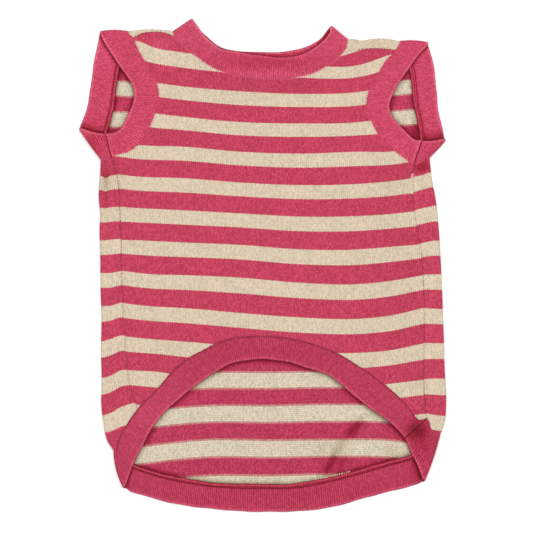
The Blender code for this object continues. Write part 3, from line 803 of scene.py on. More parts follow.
# %% [markdown]
# ## Colours and the knit pattern
# Plain jersey shows columns of V-shaped stitches on its face, and rows of little arcs on its back (the purl
# side). The yarn is a soft cotton melange: each stitch is a slightly different mix of fibres. All of that is
# arithmetic on the UV map, so it bends with the cloth. Colours are written as on screen and made linear.

# %% Colours and nodes
def linear(colour, scale=1.0):
    """An sRGB hex colour as linear red, green, blue and alpha."""
    share = np.array([int(colour[at : at + 2], 16) / 255 for at in (1, 3, 5)])
    value = np.where(share <= 0.04045, share / 12.92, ((share + 0.055) / 1.055) ** 2.4)
    return (*np.clip(value * scale, 0.0, 1.0), 1.0)


def add_node(tree, kind, inputs=None, **settings):
    """Add a shader node of a kind, set its own settings, and fill its inputs.

    An input is a number, a colour or another node's output.
    """
    node = tree.nodes.new("ShaderNode" + kind)
    for name, value in settings.items():
        setattr(node, name, value)
    for socket, value in (inputs or {}).items():
        if isinstance(value, bpy.types.NodeSocket):
            tree.links.new(value, node.inputs[socket])
        else:
            node.inputs[socket].default_value = value
    return node


def new_material(name):
    """A material and its empty node tree."""
    material = bpy.data.materials.new(name)
    material.use_nodes = True
    material.node_tree.nodes.clear()
    return material, material.node_tree


def add_surface(tree, relief, relief_mm, strength, inputs):
    """The shader that ends a tree, bumped by the relief. Inputs hold its colour and its finish."""
    bump = add_node(tree, "Bump", {"Strength": strength, "Distance": relief_mm * MM, "Height": relief})
    shader = add_node(tree, "BsdfPrincipled", {"Normal": bump.outputs[0], **inputs})
    add_node(tree, "OutputMaterial", {"Surface": shader.outputs[0]})


def knit_coordinates(tree):
    """The outputs that a knit recipe starts from: wale and course number, wear and place."""
    uv = add_node(tree, "UVMap", uv_map="knit")
    parts = add_node(tree, "SeparateXYZ", {0: uv.outputs[0]})
    known = {"wale": parts.outputs[0], "course": parts.outputs[1]}
    for attribute in ("shade", "open"):
        known[attribute] = add_node(tree, "Attribute", attribute_name=attribute).outputs["Fac"]
    known["place"] = add_node(tree, "TexCoord").outputs["Object"]
    return known


def follow_recipe(tree, known, recipe):
    """Add a Math node for each row (name, operation, terms...) whose terms are numbers or earlier names."""
    for name, operation, *terms in recipe:
        inputs = {number: known.get(term, term) for number, term in enumerate(terms)}
        known[name] = add_node(tree, "Math", inputs, operation=operation).outputs[0]
    return known


# %% [markdown]
# The recipes below are the arithmetic of a stitch. On the face, a stitch is two slanting legs: the distance
# from the middle of the wale, times a slope, is added to the course number, and the fraction of the sum says
# where across the yarn a point lies. A sine over that fraction is the yarn's round top. On the purl side the
# course number gets a wave instead. A rib's crest has the same legs, and its valley falls back in shadow.

# %% Stitch recipes
TAU = 2 * np.pi
# Which half of its wale a point is in, and how far it is from the wale's middle.
HALVES = (
    ("across", "FRACT", "wale"),
    ("side", "GREATER_THAN", "across", 0.5),
)
LEGS = (
    ("leg", "SUBTRACT", "across", 0.5),
    ("leg", "ABSOLUTE", "leg"),
)
# A wave that is one on the border between two wales and minus one in the middle of each.
WAVE = (
    ("wave", "MULTIPLY", "wale", TAU),
    ("wave", "COSINE", "wave"),
)
# The row of stitches, and the round top of its yarn.
YARN = (
    ("row", "FLOOR", "turn"),
    ("yarn", "FRACT", "turn"),
    ("yarn", "MULTIPLY", "yarn", np.pi),
    ("yarn", "SINE", "yarn"),
)
# A small step past the start of a row keeps rounding from flicking it to the stripe before.
STRIPES = (
    ("stripe", "DIVIDE", "row", COURSES),
    ("stripe", "ADD", "stripe", 0.001),
    ("stripe", "FRACT", "stripe"),
    ("cream", "LESS_THAN", "stripe", CREAM_COURSES / COURSES - 0.01),
)
FACE_RECIPE = (
    *HALVES,
    *LEGS,
    ("lean", "MULTIPLY_ADD", "leg", 0.9, -0.35),
    ("turn", "ADD", "course", "lean"),
    *YARN,
    ("leg", "MULTIPLY", "leg", TAU),
    ("leg", "SINE", "leg"),
    ("leg", "POWER", "leg", 0.55),
    ("relief", "MULTIPLY", "yarn", "leg"),
    *WAVE,
    ("wave", "MULTIPLY_ADD", "wave", -0.42, 0.58),
    ("relief", "MULTIPLY", "relief", "wave"),
    *STRIPES,
)
PURL_RECIPE = (
    *HALVES,
    *WAVE,
    ("wave", "MULTIPLY", "wave", 0.15),
    ("turn", "ADD", "course", "wave"),
    *YARN,
    ("relief", "ADD", "yarn", 0.0),
    *STRIPES,
    ("below", "LESS_THAN", "stripe", (CREAM_COURSES + 0.9) / COURSES),
    ("above", "GREATER_THAN", "stripe", (COURSES - 1.2) / COURSES),
    ("edge", "MAXIMUM", "below", "above"),
    ("edge", "MULTIPLY", "edge", 0.3),
    ("cream", "MULTIPLY_ADD", "cream", 0.7, "edge"),
)
RIB_RECIPE = (
    *HALVES,
    *LEGS,
    *WAVE,
    ("crest", "MULTIPLY_ADD", "wave", 0.5, 0.5),
    ("leg", "MULTIPLY", "leg", 2.2),
    ("turn", "SUBTRACT", "course", "leg"),
    *YARN,
    ("relief", "MULTIPLY_ADD", "yarn", 0.8, "crest"),
    ("relief", "MULTIPLY", "relief", 0.54),
)

# %% [markdown]
# The colour of a stitch comes from a random number for each leg of each stitch, blended with a fine noise
# that is stretched along the wales, as fibres are. A ramp turns it into the yarn's mix of tints. Then painted
# shade darkens it: in the grooves between stitches, and by the shade attribute, which holds painted shadows
# and light and some uneven tone, and which also deepens the colour as shaded cloth does. Cotton has no
# gloss, so roughness is high and a weak sheen stands for the fuzz of loose fibres at the edges.

# %% Knit material
CREAM_TINTS = ((0.0, "#C4B497"), (0.3, "#D5C3A5"), (0.5, "#DCC9AB"), (0.7, "#E1CFB2"), (1.0, "#E8C8AA"))
ROSE_TINTS = ((0.0, "#AE324E"), (0.3, "#BF3E5A"), (0.5, "#C64460"), (0.7, "#CC4A66"), (1.0, "#D76079"))
# Fibres run along the wales, a little finer than a stitch. Clouds of uneven dye are about 18 mm across.
FIBRE_SCALE = (2.0, 1.7, 1.0)
CLOUD_SCALE = 55.0
STITCH_RECIPE = (
    ("column", "FLOOR", "wale"),
    ("stitch", "MULTIPLY_ADD", "side", 0.5, "column"),
)


def tint_ramp(tree, tints, scale, place):
    """The mix of tints in a yarn, read at a place from 0 to 1."""
    ramp = add_node(tree, "ValToRGB", {0: place})
    for position, colour in tints[1:-1]:
        ramp.color_ramp.elements.new(position)
    for element, (position, colour) in zip(ramp.color_ramp.elements, tints):
        element.position = position
        element.color = linear(colour, scale)
    return ramp.outputs[0]


def knit_material(name, recipe, relief_mm, groove, melange, rose_scale, cream_scale=None):
    """A knit of rose yarn, or of cream and rose stripes where a scale for the cream yarn is given.

    Groove is how much painted shade darkens the gaps between the stitches, and melange how much the stitches
    differ.
    A scale holds the red, green and blue multipliers of a yarn's tints.
    """
    material, tree = new_material(name)
    known = follow_recipe(tree, knit_coordinates(tree), recipe + STITCH_RECIPE)
    known.setdefault("cream", 0.0)
    stitch = add_node(tree, "CombineXYZ", {0: known["stitch"], 1: known["row"]}).outputs[0]
    place = add_node(tree, "CombineXYZ", {0: known["wale"], 1: known["course"]}).outputs[0]
    stretched = add_node(tree, "Mapping", {"Vector": place, "Scale": FIBRE_SCALE}).outputs[0]
    random = add_node(tree, "TexWhiteNoise", {"Vector": stitch}, noise_dimensions="2D")
    fibre_inputs = {"Vector": stretched, "Scale": 1.0, "Detail": 3.0, "Roughness": 0.6}
    fibres = add_node(tree, "TexNoise", fibre_inputs, noise_dimensions="2D")
    cloud_inputs = {"Vector": known["place"], "Scale": CLOUD_SCALE, "Detail": 4.0, "Roughness": 0.6}
    cloud = add_node(tree, "TexNoise", cloud_inputs)
    known.update(random=random.outputs[0], fibres=fibres.outputs[0], cloud=cloud.outputs[0])
    shading = (
        ("mix", "MULTIPLY_ADD", "fibres", 1.1, -0.3),
        ("mix", "MULTIPLY_ADD", "random", 0.5, "mix"),
        ("calm", "MULTIPLY_ADD", "cream", -0.28, 1.0),
        ("groove", "MULTIPLY_ADD", "open", groove, groove),
        ("groove", "MULTIPLY", "groove", "calm"),
        ("light", "SUBTRACT", "relief", 0.5),
        ("light", "MULTIPLY_ADD", "light", "groove", 1.0),
        ("spread", "SUBTRACT", "random", 0.5),
        ("spread", "MULTIPLY", "spread", "calm"),
        ("spread", "MULTIPLY_ADD", "spread", melange, 1.0),
        ("light", "MULTIPLY", "light", "spread"),
        ("cloud", "MULTIPLY_ADD", "cloud", 0.16, 0.92),
        ("light", "MULTIPLY", "light", "cloud"),
        ("lost", "SUBTRACT", 1.0, "shade"),
        ("dimming", "MULTIPLY_ADD", "lost", -0.5, 1.0),
        ("light", "MULTIPLY", "light", "dimming"),
        ("depth", "ADD", "lost", 1.0),
    )
    known = follow_recipe(tree, known, shading)
    colour = tint_ramp(tree, ROSE_TINTS, rose_scale, known["mix"])
    if cream_scale:
        cream = tint_ramp(tree, CREAM_TINTS, cream_scale, known["mix"])
        yarns = {"Factor": known["cream"], 6: colour, 7: cream}
        colour = add_node(tree, "Mix", yarns, data_type="RGBA").outputs[2]
    deep = add_node(tree, "Gamma", {"Color": colour, "Gamma": known["depth"]}).outputs[0]
    scaled = {"Vector": deep, "Scale": known["light"]}
    lit = add_node(tree, "VectorMath", scaled, operation="SCALE").outputs[0]
    finish = {"Base Color": lit, "Roughness": 0.92, "Specular IOR Level": 0.2}
    finish.update({"Sheen Weight": 0.12, "Sheen Roughness": 0.5})
    add_surface(tree, known["relief"], relief_mm, 0.6, finish)
    return material


# Cotton jersey, face side: crisp columns of Vs.
jersey_face = knit_material(
    "cotton_jersey_face", FACE_RECIPE, 0.3, 0.42, 0.22, (0.885, 0.75, 0.785), (0.872, 0.877, 0.93)
)
# The same cloth from behind: rows of arcs, a little duller, with two-tone stitches where the yarns change.
jersey_purl = knit_material(
    "cotton_jersey_purl", PURL_RECIPE, 0.25, 0.35, 0.3, (0.7, 0.52, 0.65), (0.77, 0.81, 0.88)
)
# Doubled 1x1 rib in rose cotton. One material for each band, because they have faded differently.
# Columns: depth of the painted shade in the grooves, then the multipliers of red, green and blue.
RIB_LOOKS = {
    "neck": (0.44, 0.845, 0.885, 0.885),
    "armhole left": (0.42, 0.835, 0.79, 0.81),
    "armhole right": (0.42, 0.83, 0.81, 0.835),
    "hem": (0.62, 0.69, 0.57, 0.635),
}
rib_materials = {
    name: knit_material(f"cotton_rib_{name.replace(' ', '_')}", RIB_RECIPE, 0.12, groove, 0.22, scale)
    for name, (groove, *scale) in RIB_LOOKS.items()
}
print("materials:", [material.name for material in bpy.data.materials if "cotton" in material.name])

# %% [markdown]
# ## The front panel
# The belly panel is one layer, from the shoulders to the arched hem. A single patch would fold over itself
# where the underarm juts in, so it is two patches: the chest between the armholes and the belly below them.

# %% Front panel
chest_steps = 2 * STEPS["shoulder"] + STEPS["neck"]
chest_share = np.linspace(0.0, 1.0, chest_steps + 1)[:, None]
chest_line = (1 - chest_share) * arm_left[1][-1] + chest_share * arm_right[1][-1]
chest = filled_patch(
    top=joined(seams["shoulder left"], neck[1], seams["shoulder right"]),
    right=arm_right[1],
    bottom=chest_line,
    left=arm_left[1],
)
belly = filled_patch(
    top=joined(arm_left[2][::-1], chest_line, arm_right[2]),
    right=seams["side right"],
    bottom=hem[1],
    left=seams["side left"],
)
front_grids = [
    with_uv(
        at_height(plan, upper_height(plan)),
        plan[..., 0] / WALE_MM,
        course_number(plan, FRONT_X, FRONT_STRIPES),
    )
    for plan in (chest, belly)
]
front_panel = knit_sheet("front_panel_knit", front_grids, (jersey_face, jersey_purl), (0.0, 60.0, 9.0))

# %% [markdown]
# ## The back panel
# The back panel lies underneath, purl side up, and its edges are turned over to the top: a flap down each
# side and a narrow tab over each shoulder. It is one piece of knitting, so its course and wale numbers have
# to run on through the folds. On a flap the wale number is found by unrolling the fold flat again.

# %% Back panel
floor = filled_patch(
    top=joined(folds["shoulder left"], back_seams["neck"], folds["shoulder right"]),
    right=joined(back_seams["armhole right"], folds["side right"]),
    bottom=back_seams["hem"],
    left=joined(back_seams["armhole left"], folds["side left"]),
)
flap_left = filled_patch(
    top=arm_left[3][::-1],
    right=seams["side left"],
    bottom=hem[0],
    left=folds["side left"],
)
flap_right = filled_patch(
    top=arm_right[3],
    right=folds["side right"],
    bottom=hem[2],
    left=seams["side right"],
)
tab_left = filled_patch(
    top=folds["shoulder left"],
    right=neck[0],
    bottom=seams["shoulder left"],
    left=arm_left[0],
)
tab_right = filled_patch(
    top=folds["shoulder right"],
    right=arm_right[0],
    bottom=seams["shoulder right"],
    left=neck[2][::-1],
)
TURN_LENGTH = np.pi * (UPPER_JERSEY - LOWER_JERSEY) / 2
side_rows = slice(STEPS["back armhole"], None)
shoulder_points = STEPS["shoulder"] + 1
# Painted shade on the floor under the bands' free edges and along their seams: shares lost, and reaches in
# mm.
FLOOR_SHADE = 0.42
FLOOR_REACH = 2.2
SEAM_SHADE = 0.75
SEAM_REACH = 2.4
EDGE_STEPS = 200


def flap_grids(plan, column, bulge, columns, stripes):
    """A side flap and the half turn that joins it to the floor, both with their UV maps."""
    fold = plan[:, column]
    flap = at_height(plan, upper_height(plan))
    beside_fold = np.interp(-plan[..., 1], -fold[:, 1], fold[:, 0])
    flat = beside_fold + bulge[0] * (TURN_LENGTH + np.abs(plan[..., 0] - beside_fold))
    courses = course_number(plan, columns, stripes, FLAP_FIRST_STRIPE)
    lower = at_height(floor[side_rows, column], lower_height(floor[side_rows, column]))
    turn = half_turn(lower, flap[:, column], bulge)
    share = np.linspace(0.0, 1.0, FOLD_STEPS + 1)[:, None]
    start = course_number(floor[side_rows, column], BACK_X, BACK_STRIPES)
    turn_courses = (1 - share) * start + share * courses[:, column]
    turn_wales = (fold[:, 0] + share * TURN_LENGTH * bulge[0]) / WALE_MM
    return [with_uv(flap, flat / WALE_MM, courses), with_uv(turn, turn_wales, turn_courses, fold_shade)]


def tab_grids(plan, floor_edge):
    """A shoulder tab and its half turn. Its stripes run on upwards from the floor's."""
    fold = plan[0]
    tab = at_height(plan, upper_height(plan))
    flat = fold + (TURN_LENGTH + fold[None, :, 1:] - plan[..., 1:]) * UP
    turn = half_turn(at_height(floor_edge, lower_height(floor_edge)), tab[0], UP)
    share = np.linspace(0.0, 1.0, FOLD_STEPS + 1)[:, None, None]
    opened = fold + share * TURN_LENGTH * UP
    return [
        with_uv(grid, spread[..., 0] / WALE_MM, course_number(spread, BACK_X, BACK_STRIPES), shade)
        for grid, spread, shade in ((tab, flat, 1.0), (turn, opened, fold_shade))
    ]


free_edges = [
    smooth_line(band_rows(front, *bulges)[:, 2:], EDGE_STEPS) for front, back, *bulges in BANDS.values()
]
# Painted shade on the floor under the bands' free edges and along their seams, and the painted shade and
# light of wrinkles.
floor_shade = 1 - FLOOR_SHADE * bell(nearest_on(floor, free_edges)[0], FLOOR_REACH)
floor_shade *= 1 - SEAM_SHADE * bell(nearest_on(floor, lower_band_seams)[0], SEAM_REACH)
floor_shade -= creases(floor, PAINTED_WRINKLE_SHADE)
back_grids = [
    with_uv(
        at_height(floor, lower_height(floor)),
        floor[..., 0] / WALE_MM,
        course_number(floor, BACK_X, BACK_STRIPES),
        floor_shade,
    )
]
back_grids += flap_grids(flap_left, 0, LEFT, FLAP_LEFT_X, FLAP_LEFT_STRIPES)
back_grids += flap_grids(flap_right, -1, RIGHT, FLAP_RIGHT_X, FLAP_RIGHT_STRIPES)
back_grids += tab_grids(tab_left, floor[0, :shoulder_points])
back_grids += tab_grids(tab_right, floor[0, -shoulder_points:])
back_panel = knit_sheet("back_panel_knit", back_grids, (jersey_face, jersey_purl), (-121.0, 0.0, 9.0))

# %% [markdown]
# ## The rib bands
# A band is rib knitting folded double. It could be a plain strip with a bump map, but its ribs show along
# the rounded edge, so they are real here: a section with a soft crown is carried round the flattened ring,
# and it swells and sinks once for every rib. Where two ends of a band are sewn together there is a groove
# with a small ridge beside it.

# %% Rib sizes
RIB_PITCH = 1.7
STEPS_PER_RIB = 6
RIB_SPACING = RIB_PITCH / STEPS_PER_RIB
RIB_RELIEF = 0.16
RIB_COURSE_MM = 1.25
HALF_WALL = RIB_WALL / 2 - 0.02
RING_RADIUS = (UPPER_RIB - LOWER_RIB) / 2
RING_MIDDLE = (UPPER_RIB + LOWER_RIB) / 2
# The section: how far its two edges take to round off, and how far it reaches past its seam.
EDGE_ROUND = 1.3
SEAM_ROUND = 1.4
SEAM_OVERLAP = 0.25
# The ribs start this far from the seam, and reach their full relief over the second length.
RIBS_FROM = 0.2
RIBS_RISE = 1.2
# A painted highlight lies just inside the free edge, where a rim catches the light, and painted shade on the
# very edge, which turns away from it.
RIM_LIGHT = 0.22
RIM_PLACE = 1.0
RIM_REACH = 0.7
RIM_EDGE = 0.45
# Painted shade on the lower layer: a contact shadow under the upper one, deep shade near the last fold, and
# a dark line of shade beside the seam cord. A station is on the lower layer past this turn, in radians.
LOWER_TURN = 2.0
CONTACT_SHADE = 0.6
CONTACT_REACH = 1.2
DEEP_SHADE = 0.5
DEEP_REACH = 6.0
DEEP_LENGTH = 16.0
BESIDE_CORD = 0.6
CORD_PLACE = 2.0
CORD_REACH = 0.5
# The width of a band wavers by two slow waves. Columns: millimetres, wavelength over 2 pi, start.
WIDTH_WAVES = (
    (0.22, 9.0, 0.0),
    (0.14, 3.7, 1.0),
)
# A band is a little narrower at its folds.
CORNER_ROUND = 0.3
CORNER_REACH = 2.5
BOW_REACH = 9.0
# How far the middle of a band's first and last fold bulges past a straight line, and how far the lower
# layer's free edge reaches out beside each of them, which fills the corner.
FOLD_BOWS = {
    "neck": ((0.0, 0.0), (0.0, 0.0)),
    "armhole left": ((0.9, 0.3), (0.3, 1.3)),
    "armhole right": ((1.0, 0.3), (0.0, 0.6)),
    "hem": ((1.7, 0.8), (1.9, 1.6)),
}
# Where a band's two ends are sewn together there is a ridge and then a groove, with painted light on
# the ridge and painted shade in the groove.
# Columns: millimetres before the join, reach, relief in millimetres, share of brightness gained.
JOIN_LINES = (
    (1.3, 0.7, 0.45, 0.0),
    (0.0, 0.45, -0.8, 0.0),
    (1.4, 0.7, 0.0, 0.16),
    (0.0, 0.55, 0.0, -0.5),
)

# Points across a band, from its seam to its free edge. Columns: share of the width, millimetres added.
RIB_SECTION = (
    (0.0, -SEAM_OVERLAP),
    (0.0, 0.15),
    (0.0, 0.6),
    (0.0, 1.3),
    (0.0, 2.1),
    (0.14, 0.3),
    (0.27, 0.0),
    (0.4, 0.0),
    (0.53, 0.0),
    (0.66, 0.0),
    (0.79, 0.0),
    (0.9, -0.4),
    (1.0, -1.3),
    (1.0, -0.8),
    (1.0, -0.35),
    (1.0, -0.09),
    (1.0, 0.0),
)


# %% Stations round a band
FINE_STEPS = 1500


def read_evenly(rows, reached, spacing):
    """Rows read again at even distances, where reached says how far along each of them is."""
    at = np.linspace(0.0, reached[-1], int(round(reached[-1] / spacing)) + 1)
    return np.column_stack([np.interp(at, reached, column) for column in rows.T])


def even_rows(table, bulges):
    """A half band's sections at even distances along its middle, and the length of that middle."""
    fine = smooth_line(band_rows(table, *bulges), FINE_STEPS)
    reached = distance_along((fine[:, :2] + fine[:, 2:]) / 2)
    return read_evenly(fine, reached, RIB_SPACING), reached[-1]


def band_stations(front, back, bulges):
    """Sections, turn and bulge of each station round the flattened ring, and its distances from the folds.

    The stations go along the front half, round the last fold, back along the back half and round the first
    fold. The turn is 0 on the front half and pi on the back half. A distance is zero on its own fold and
    without end on the other one.
    """
    fold = np.linspace(0.0, np.pi, int(round(np.pi * RING_RADIUS / RIB_SPACING)) + 1)[1:-1]
    last, first = (np.repeat(end, len(fold), axis=0) for end in (front[-1:], front[:1]))
    sections = np.vstack((front, last, back[::-1], first))
    turn = np.concatenate((np.zeros(len(front)), fold, np.full(len(back), np.pi), fold[::-1]))
    bulge = np.repeat(bulges[::-1], (len(turn) - len(fold), len(fold)), axis=0)
    ahead, behind = np.arange(len(front)), np.arange(len(back))
    on, far = np.zeros(len(fold)), np.full(len(fold), np.inf)
    from_first = np.concatenate((ahead, far, behind[::-1], on)) * RIB_SPACING
    from_last = np.concatenate((ahead[::-1], on, behind, far)) * RIB_SPACING
    return sections, turn, bulge, (from_first, from_last)


# %% Section of a band
def mirrored(top, sign=1.0):
    """A section's upper half, from seam to free edge, followed by its lower half back to the seam."""
    return np.hstack((top, sign * top[:, -2::-1]))


def rib_sections(width, turn, phase, past_join):
    """Reach across the band, height and shade of every section's points, each row one section.

    Height is the half wall, times the quarter circle sqrt(1 - lean^2) at the free edge, times a rise at the
    seam. The ribs sink from it between two crests, and past_join is how far each section is past the join.
    """
    share, added = np.array(RIB_SECTION).T
    reach = width[:, None] * share + added
    from_edge = width[:, None] - reach
    lean = 1 - np.clip(from_edge / EDGE_ROUND, 0.0, 1.0)
    upright = np.sqrt(np.maximum(1 - lean**2, 0.0))
    seam_rise = 0.5 + 0.5 * np.sin(np.pi / 2 * np.clip((reach + SEAM_OVERLAP) / SEAM_ROUND, 0.0, 1.0))
    valley = 0.5 - 0.5 * np.cos(TAU * phase)
    relief = -RIB_RELIEF * valley[:, None] * np.clip((reach - RIBS_FROM) / RIBS_RISE, 0.0, 1.0)
    shade = 1 + RIM_LIGHT * bell(from_edge - RIM_PLACE, RIM_REACH)
    shade -= OUTLINE_SHADE * (bell(from_edge, RIM_EDGE) + np.sin(turn)[:, None] ** 6)
    for before, spread, raised, gained in JOIN_LINES:
        line = bell(past_join[:, None] + before, spread)
        relief += raised * line
        shade += gained * line
    height = HALF_WALL * upright * seam_rise + relief * upright
    return mirrored(reach + relief * lean), mirrored(height, -1.0), mirrored(shade)


def lower_layer_shade(plan, reach, front_edge, from_last):
    """How much of its brightness the lower layer keeps where painted shade falls under and beside the upper
    one.
    """
    gap = nearest_on(plan, [front_edge])[0]
    deep = DEEP_SHADE * bell(gap, DEEP_REACH) * bell(from_last, DEEP_LENGTH)[:, None]
    kept = 1 - CONTACT_SHADE * bell(gap, CONTACT_REACH) - deep
    return kept * (1 - BESIDE_CORD * bell(reach - CORD_PLACE, CORD_REACH))


# %% Rib band
def rib_band(piece_name, name, join):
    """Carry the rib's section round its flattened ring.

    Every point is start + reach * across + height * outwards. Outwards is up on the front half and down on
    the back half, and join is the share of the front half at which the band's ends are sewn together.
    """
    front_table, back_table, *bulges = BANDS[name]
    bows, fills = FOLD_BOWS[name]
    front, front_length = even_rows(front_table, bulges)
    back = even_rows(back_table, bulges)[0]
    sections, turn, bulge, from_folds = band_stations(front, back, bulges)
    count = len(sections)
    ribs = round(count / STEPS_PER_RIB)
    phase = np.arange(count) * ribs / count
    travelled = np.arange(count) * RIB_SPACING

    across = sections[:, 2:] - sections[:, :2]
    width = np.linalg.norm(across, axis=1)
    across = at_height(across / width[:, None], 0.0)
    width = width + sum(size * np.sin(travelled / length + start) for size, length, start in WIDTH_WAVES)
    for near, fill in zip(from_folds, fills):
        width += (fill * (1 - np.cos(turn)) / 2 - CORNER_ROUND) * bell(near, CORNER_REACH)
    reach, height, shade = rib_sections(width, turn, phase, travelled - front_length * join)

    outwards = np.column_stack((np.sin(turn)[:, None] * bulge, np.cos(turn)))
    start = at_height(sections[:, :2], RING_MIDDLE) + RING_RADIUS * outwards
    points = start[:, None] + reach[:, :, None] * across[:, None] + height[:, :, None] * outwards[:, None]
    swell = np.sin(np.pi * np.clip(reach / width[:, None], 0.0, 1.0))[:, :, None]
    for near, bow, way in zip(from_folds, bows, bulges):
        points[..., :2] += bow * swell * bell(near, BOW_REACH)[:, None, None] * way
    lower = turn > LOWER_TURN
    front_edge = front[:: 2 * STEPS_PER_RIB, 2:]
    shade[lower] *= lower_layer_shade(points[lower, :, :2], reach[lower], front_edge, from_folds[1][lower])

    uv = np.stack(np.broadcast_arrays(phase[:, None], reach / RIB_COURSE_MM), axis=-1)
    # The last strip of faces goes back to the first station, so its UV map needs one station more.
    points = np.vstack((points, points[:1]))
    shade = np.vstack((shade, shade[:1])).ravel()
    uv = np.vstack((uv, uv[:1] + (ribs, 0.0)))
    faces = grid_faces(*points.shape[:2], wrap_columns=True)
    print(f"{name}: {ribs} ribs round a ring of {count * RIB_SPACING:.0f} mm")
    material = rib_materials[name]
    return mesh_piece(
        piece_name, points.reshape(-1, 3), [faces], uv.reshape(-1, 2), [material], SHARED_POINT, shade
    )


# %% Four bands
# Columns: piece, the solid it stands for, whether its ends are joined where its last front stretch starts.
RIB_PIECES = {
    "neck": ("neck_rib", "neck_band", False),
    "armhole left": ("armhole_rib_left", "armhole_band_left", True),
    "armhole right": ("armhole_rib_right", "armhole_band_right", True),
    "hem": ("hem_rib", "hem_band", True),
}


def join_share(table, bulges):
    """Where a band's last front stretch starts, as a share of its front half."""
    rows = band_rows(table, *bulges)
    reached = distance_along((rows[:, :2] + rows[:, 2:]) / 2)
    named = [index for index, row in enumerate(table) if row[0]]
    # The very last named row is the table's end, so the last stretch starts at the one before it.
    return reached[named[-2]] / reached[-1]


rib_pieces = {}
for name, (piece_name, node, has_join) in RIB_PIECES.items():
    front_table, back_table, *bulges = BANDS[name]
    # A join that is endlessly far away leaves no mark.
    join = join_share(front_table, bulges) if has_join else -np.inf
    rib_pieces[name] = rib_band(piece_name, name, join)

# %% [markdown]
# ## Seams
# Inside the shirt the raw edges of panel and band are wrapped in thread together, which leaves a raised cord
# beside the band. It shows through the armholes and the arched hem. Outside, the same thread shows as rows of
# short stitches. Each stitch is a tiny capsule with few faces, repeated along the line in one array.

# %% Thread material
def thread_material(name, colour):
    """Cotton sewing thread: matt, with the fine diagonal twist of its plies."""
    material, tree = new_material(name)
    place = add_node(tree, "TexCoord").outputs["Object"]
    twist_inputs = {"Vector": place, "Scale": 700.0, "Distortion": 2.0, "Detail": 1.0}
    twist = add_node(tree, "TexWave", twist_inputs, bands_direction="DIAGONAL").outputs["Fac"]
    tints = {"Factor": twist, 6: linear(colour, 0.78), 7: linear(colour, 1.1)}
    tint = add_node(tree, "Mix", tints, data_type="RGBA").outputs[2]
    add_surface(tree, twist, 0.1, 0.5, {"Base Color": tint, "Roughness": 0.85, "Specular IOR Level": 0.25})
    return material


THREADS = {
    "rose": "#CC4A68",
    "pale": "#D05C77",
    "cream": "#DCCAB0",
    "dark_rose": "#741C36",
    "brown": "#7E3A42",
}
threads = {name: thread_material(f"cotton_thread_{name}", colour) for name, colour in THREADS.items()}

# %% Lines beside a seam
UP_3D = np.array((0.0, 0.0, 1.0))


def path_frames(path):
    """Heading and left-hand side at each point of a path in space."""
    heading = np.gradient(path, axis=0)
    heading /= np.linalg.norm(heading, axis=1)[:, None]
    side = np.column_stack((-heading[:, 1], heading[:, 0], np.zeros(len(path))))
    return heading, side / np.linalg.norm(side, axis=1)[:, None]


def even_path(line, spacing):
    """A line read again at even distances."""
    return read_evenly(line, distance_along(line), spacing)


def beside(line, offset):
    """A plan line moved sideways, to the left of its own heading."""
    return line + offset * path_frames(at_height(line, 0.0))[1][:, :2]


# %% Seam cords
CORD_HEIGHT = 1.75
CORD_HALF_WIDTH = 1.35
CORD_HALF_HEIGHT = 0.9
CORD_SIDES = 12
CORD_STEP = 0.3
LOOP_MM = 1.5
TAPER_MM = 1.5
# The cord's flanks and its two ends fall back in shadow.
FLANK_SHADE = 0.95
END_LIGHT = 0.6


def seam_cord(name, path, material):
    """An overcast seam edge: an oval carried along the path, pinched once for every thread loop.

    A section point is path + side * half_width * cos(angle) + up * half_height * sin(angle). Both halves
    shrink by a seventh at each pinch, and taper off at the two ends.
    """
    reached = distance_along(path)
    side = path_frames(path)[1]
    angle = np.linspace(0.0, TAU, CORD_SIDES, endpoint=False)
    pinch = 0.93 + 0.07 * np.cos(TAU * reached / LOOP_MM)
    taper = np.clip(np.minimum(reached, reached[-1] - reached) / TAPER_MM, 0.02, 1.0) ** 0.5
    size = (pinch * taper)[:, None, None]
    points = (
        path[:, None]
        + size * CORD_HALF_WIDTH * np.cos(angle)[None, :, None] * side[:, None]
        + size * CORD_HALF_HEIGHT * np.sin(angle)[None, :, None] * UP_3D
    )
    uv = np.stack(np.broadcast_arrays(reached[:, None] / LOOP_MM, angle[None] / TAU * 4), axis=-1)
    flank = np.tile(1.04 - FLANK_SHADE * np.abs(np.cos(angle)) ** 1.8, len(path))
    # Both ends are closed by a fan of triangles round a middle point.
    ring = np.arange(CORD_SIDES)
    next_one = (ring + 1) % CORD_SIDES
    first_middle = len(path) * CORD_SIDES
    last_ring = first_middle - CORD_SIDES
    faces = [
        grid_faces(len(path), CORD_SIDES, wrap_columns=True),
        np.column_stack((np.full(CORD_SIDES, first_middle), ring, next_one)),
        np.column_stack((np.full(CORD_SIDES, first_middle + 1), last_ring + next_one, last_ring + ring)),
    ]
    all_points = np.vstack((points.reshape(-1, 3), points[[0, -1]].mean(axis=1)))
    all_uv = np.vstack((uv.reshape(-1, 2), uv[[0, -1], 0]))
    shade = np.concatenate((flank, (END_LIGHT, END_LIGHT)))
    return mesh_piece(name, all_points, faces, all_uv, [material], own_shade=shade)


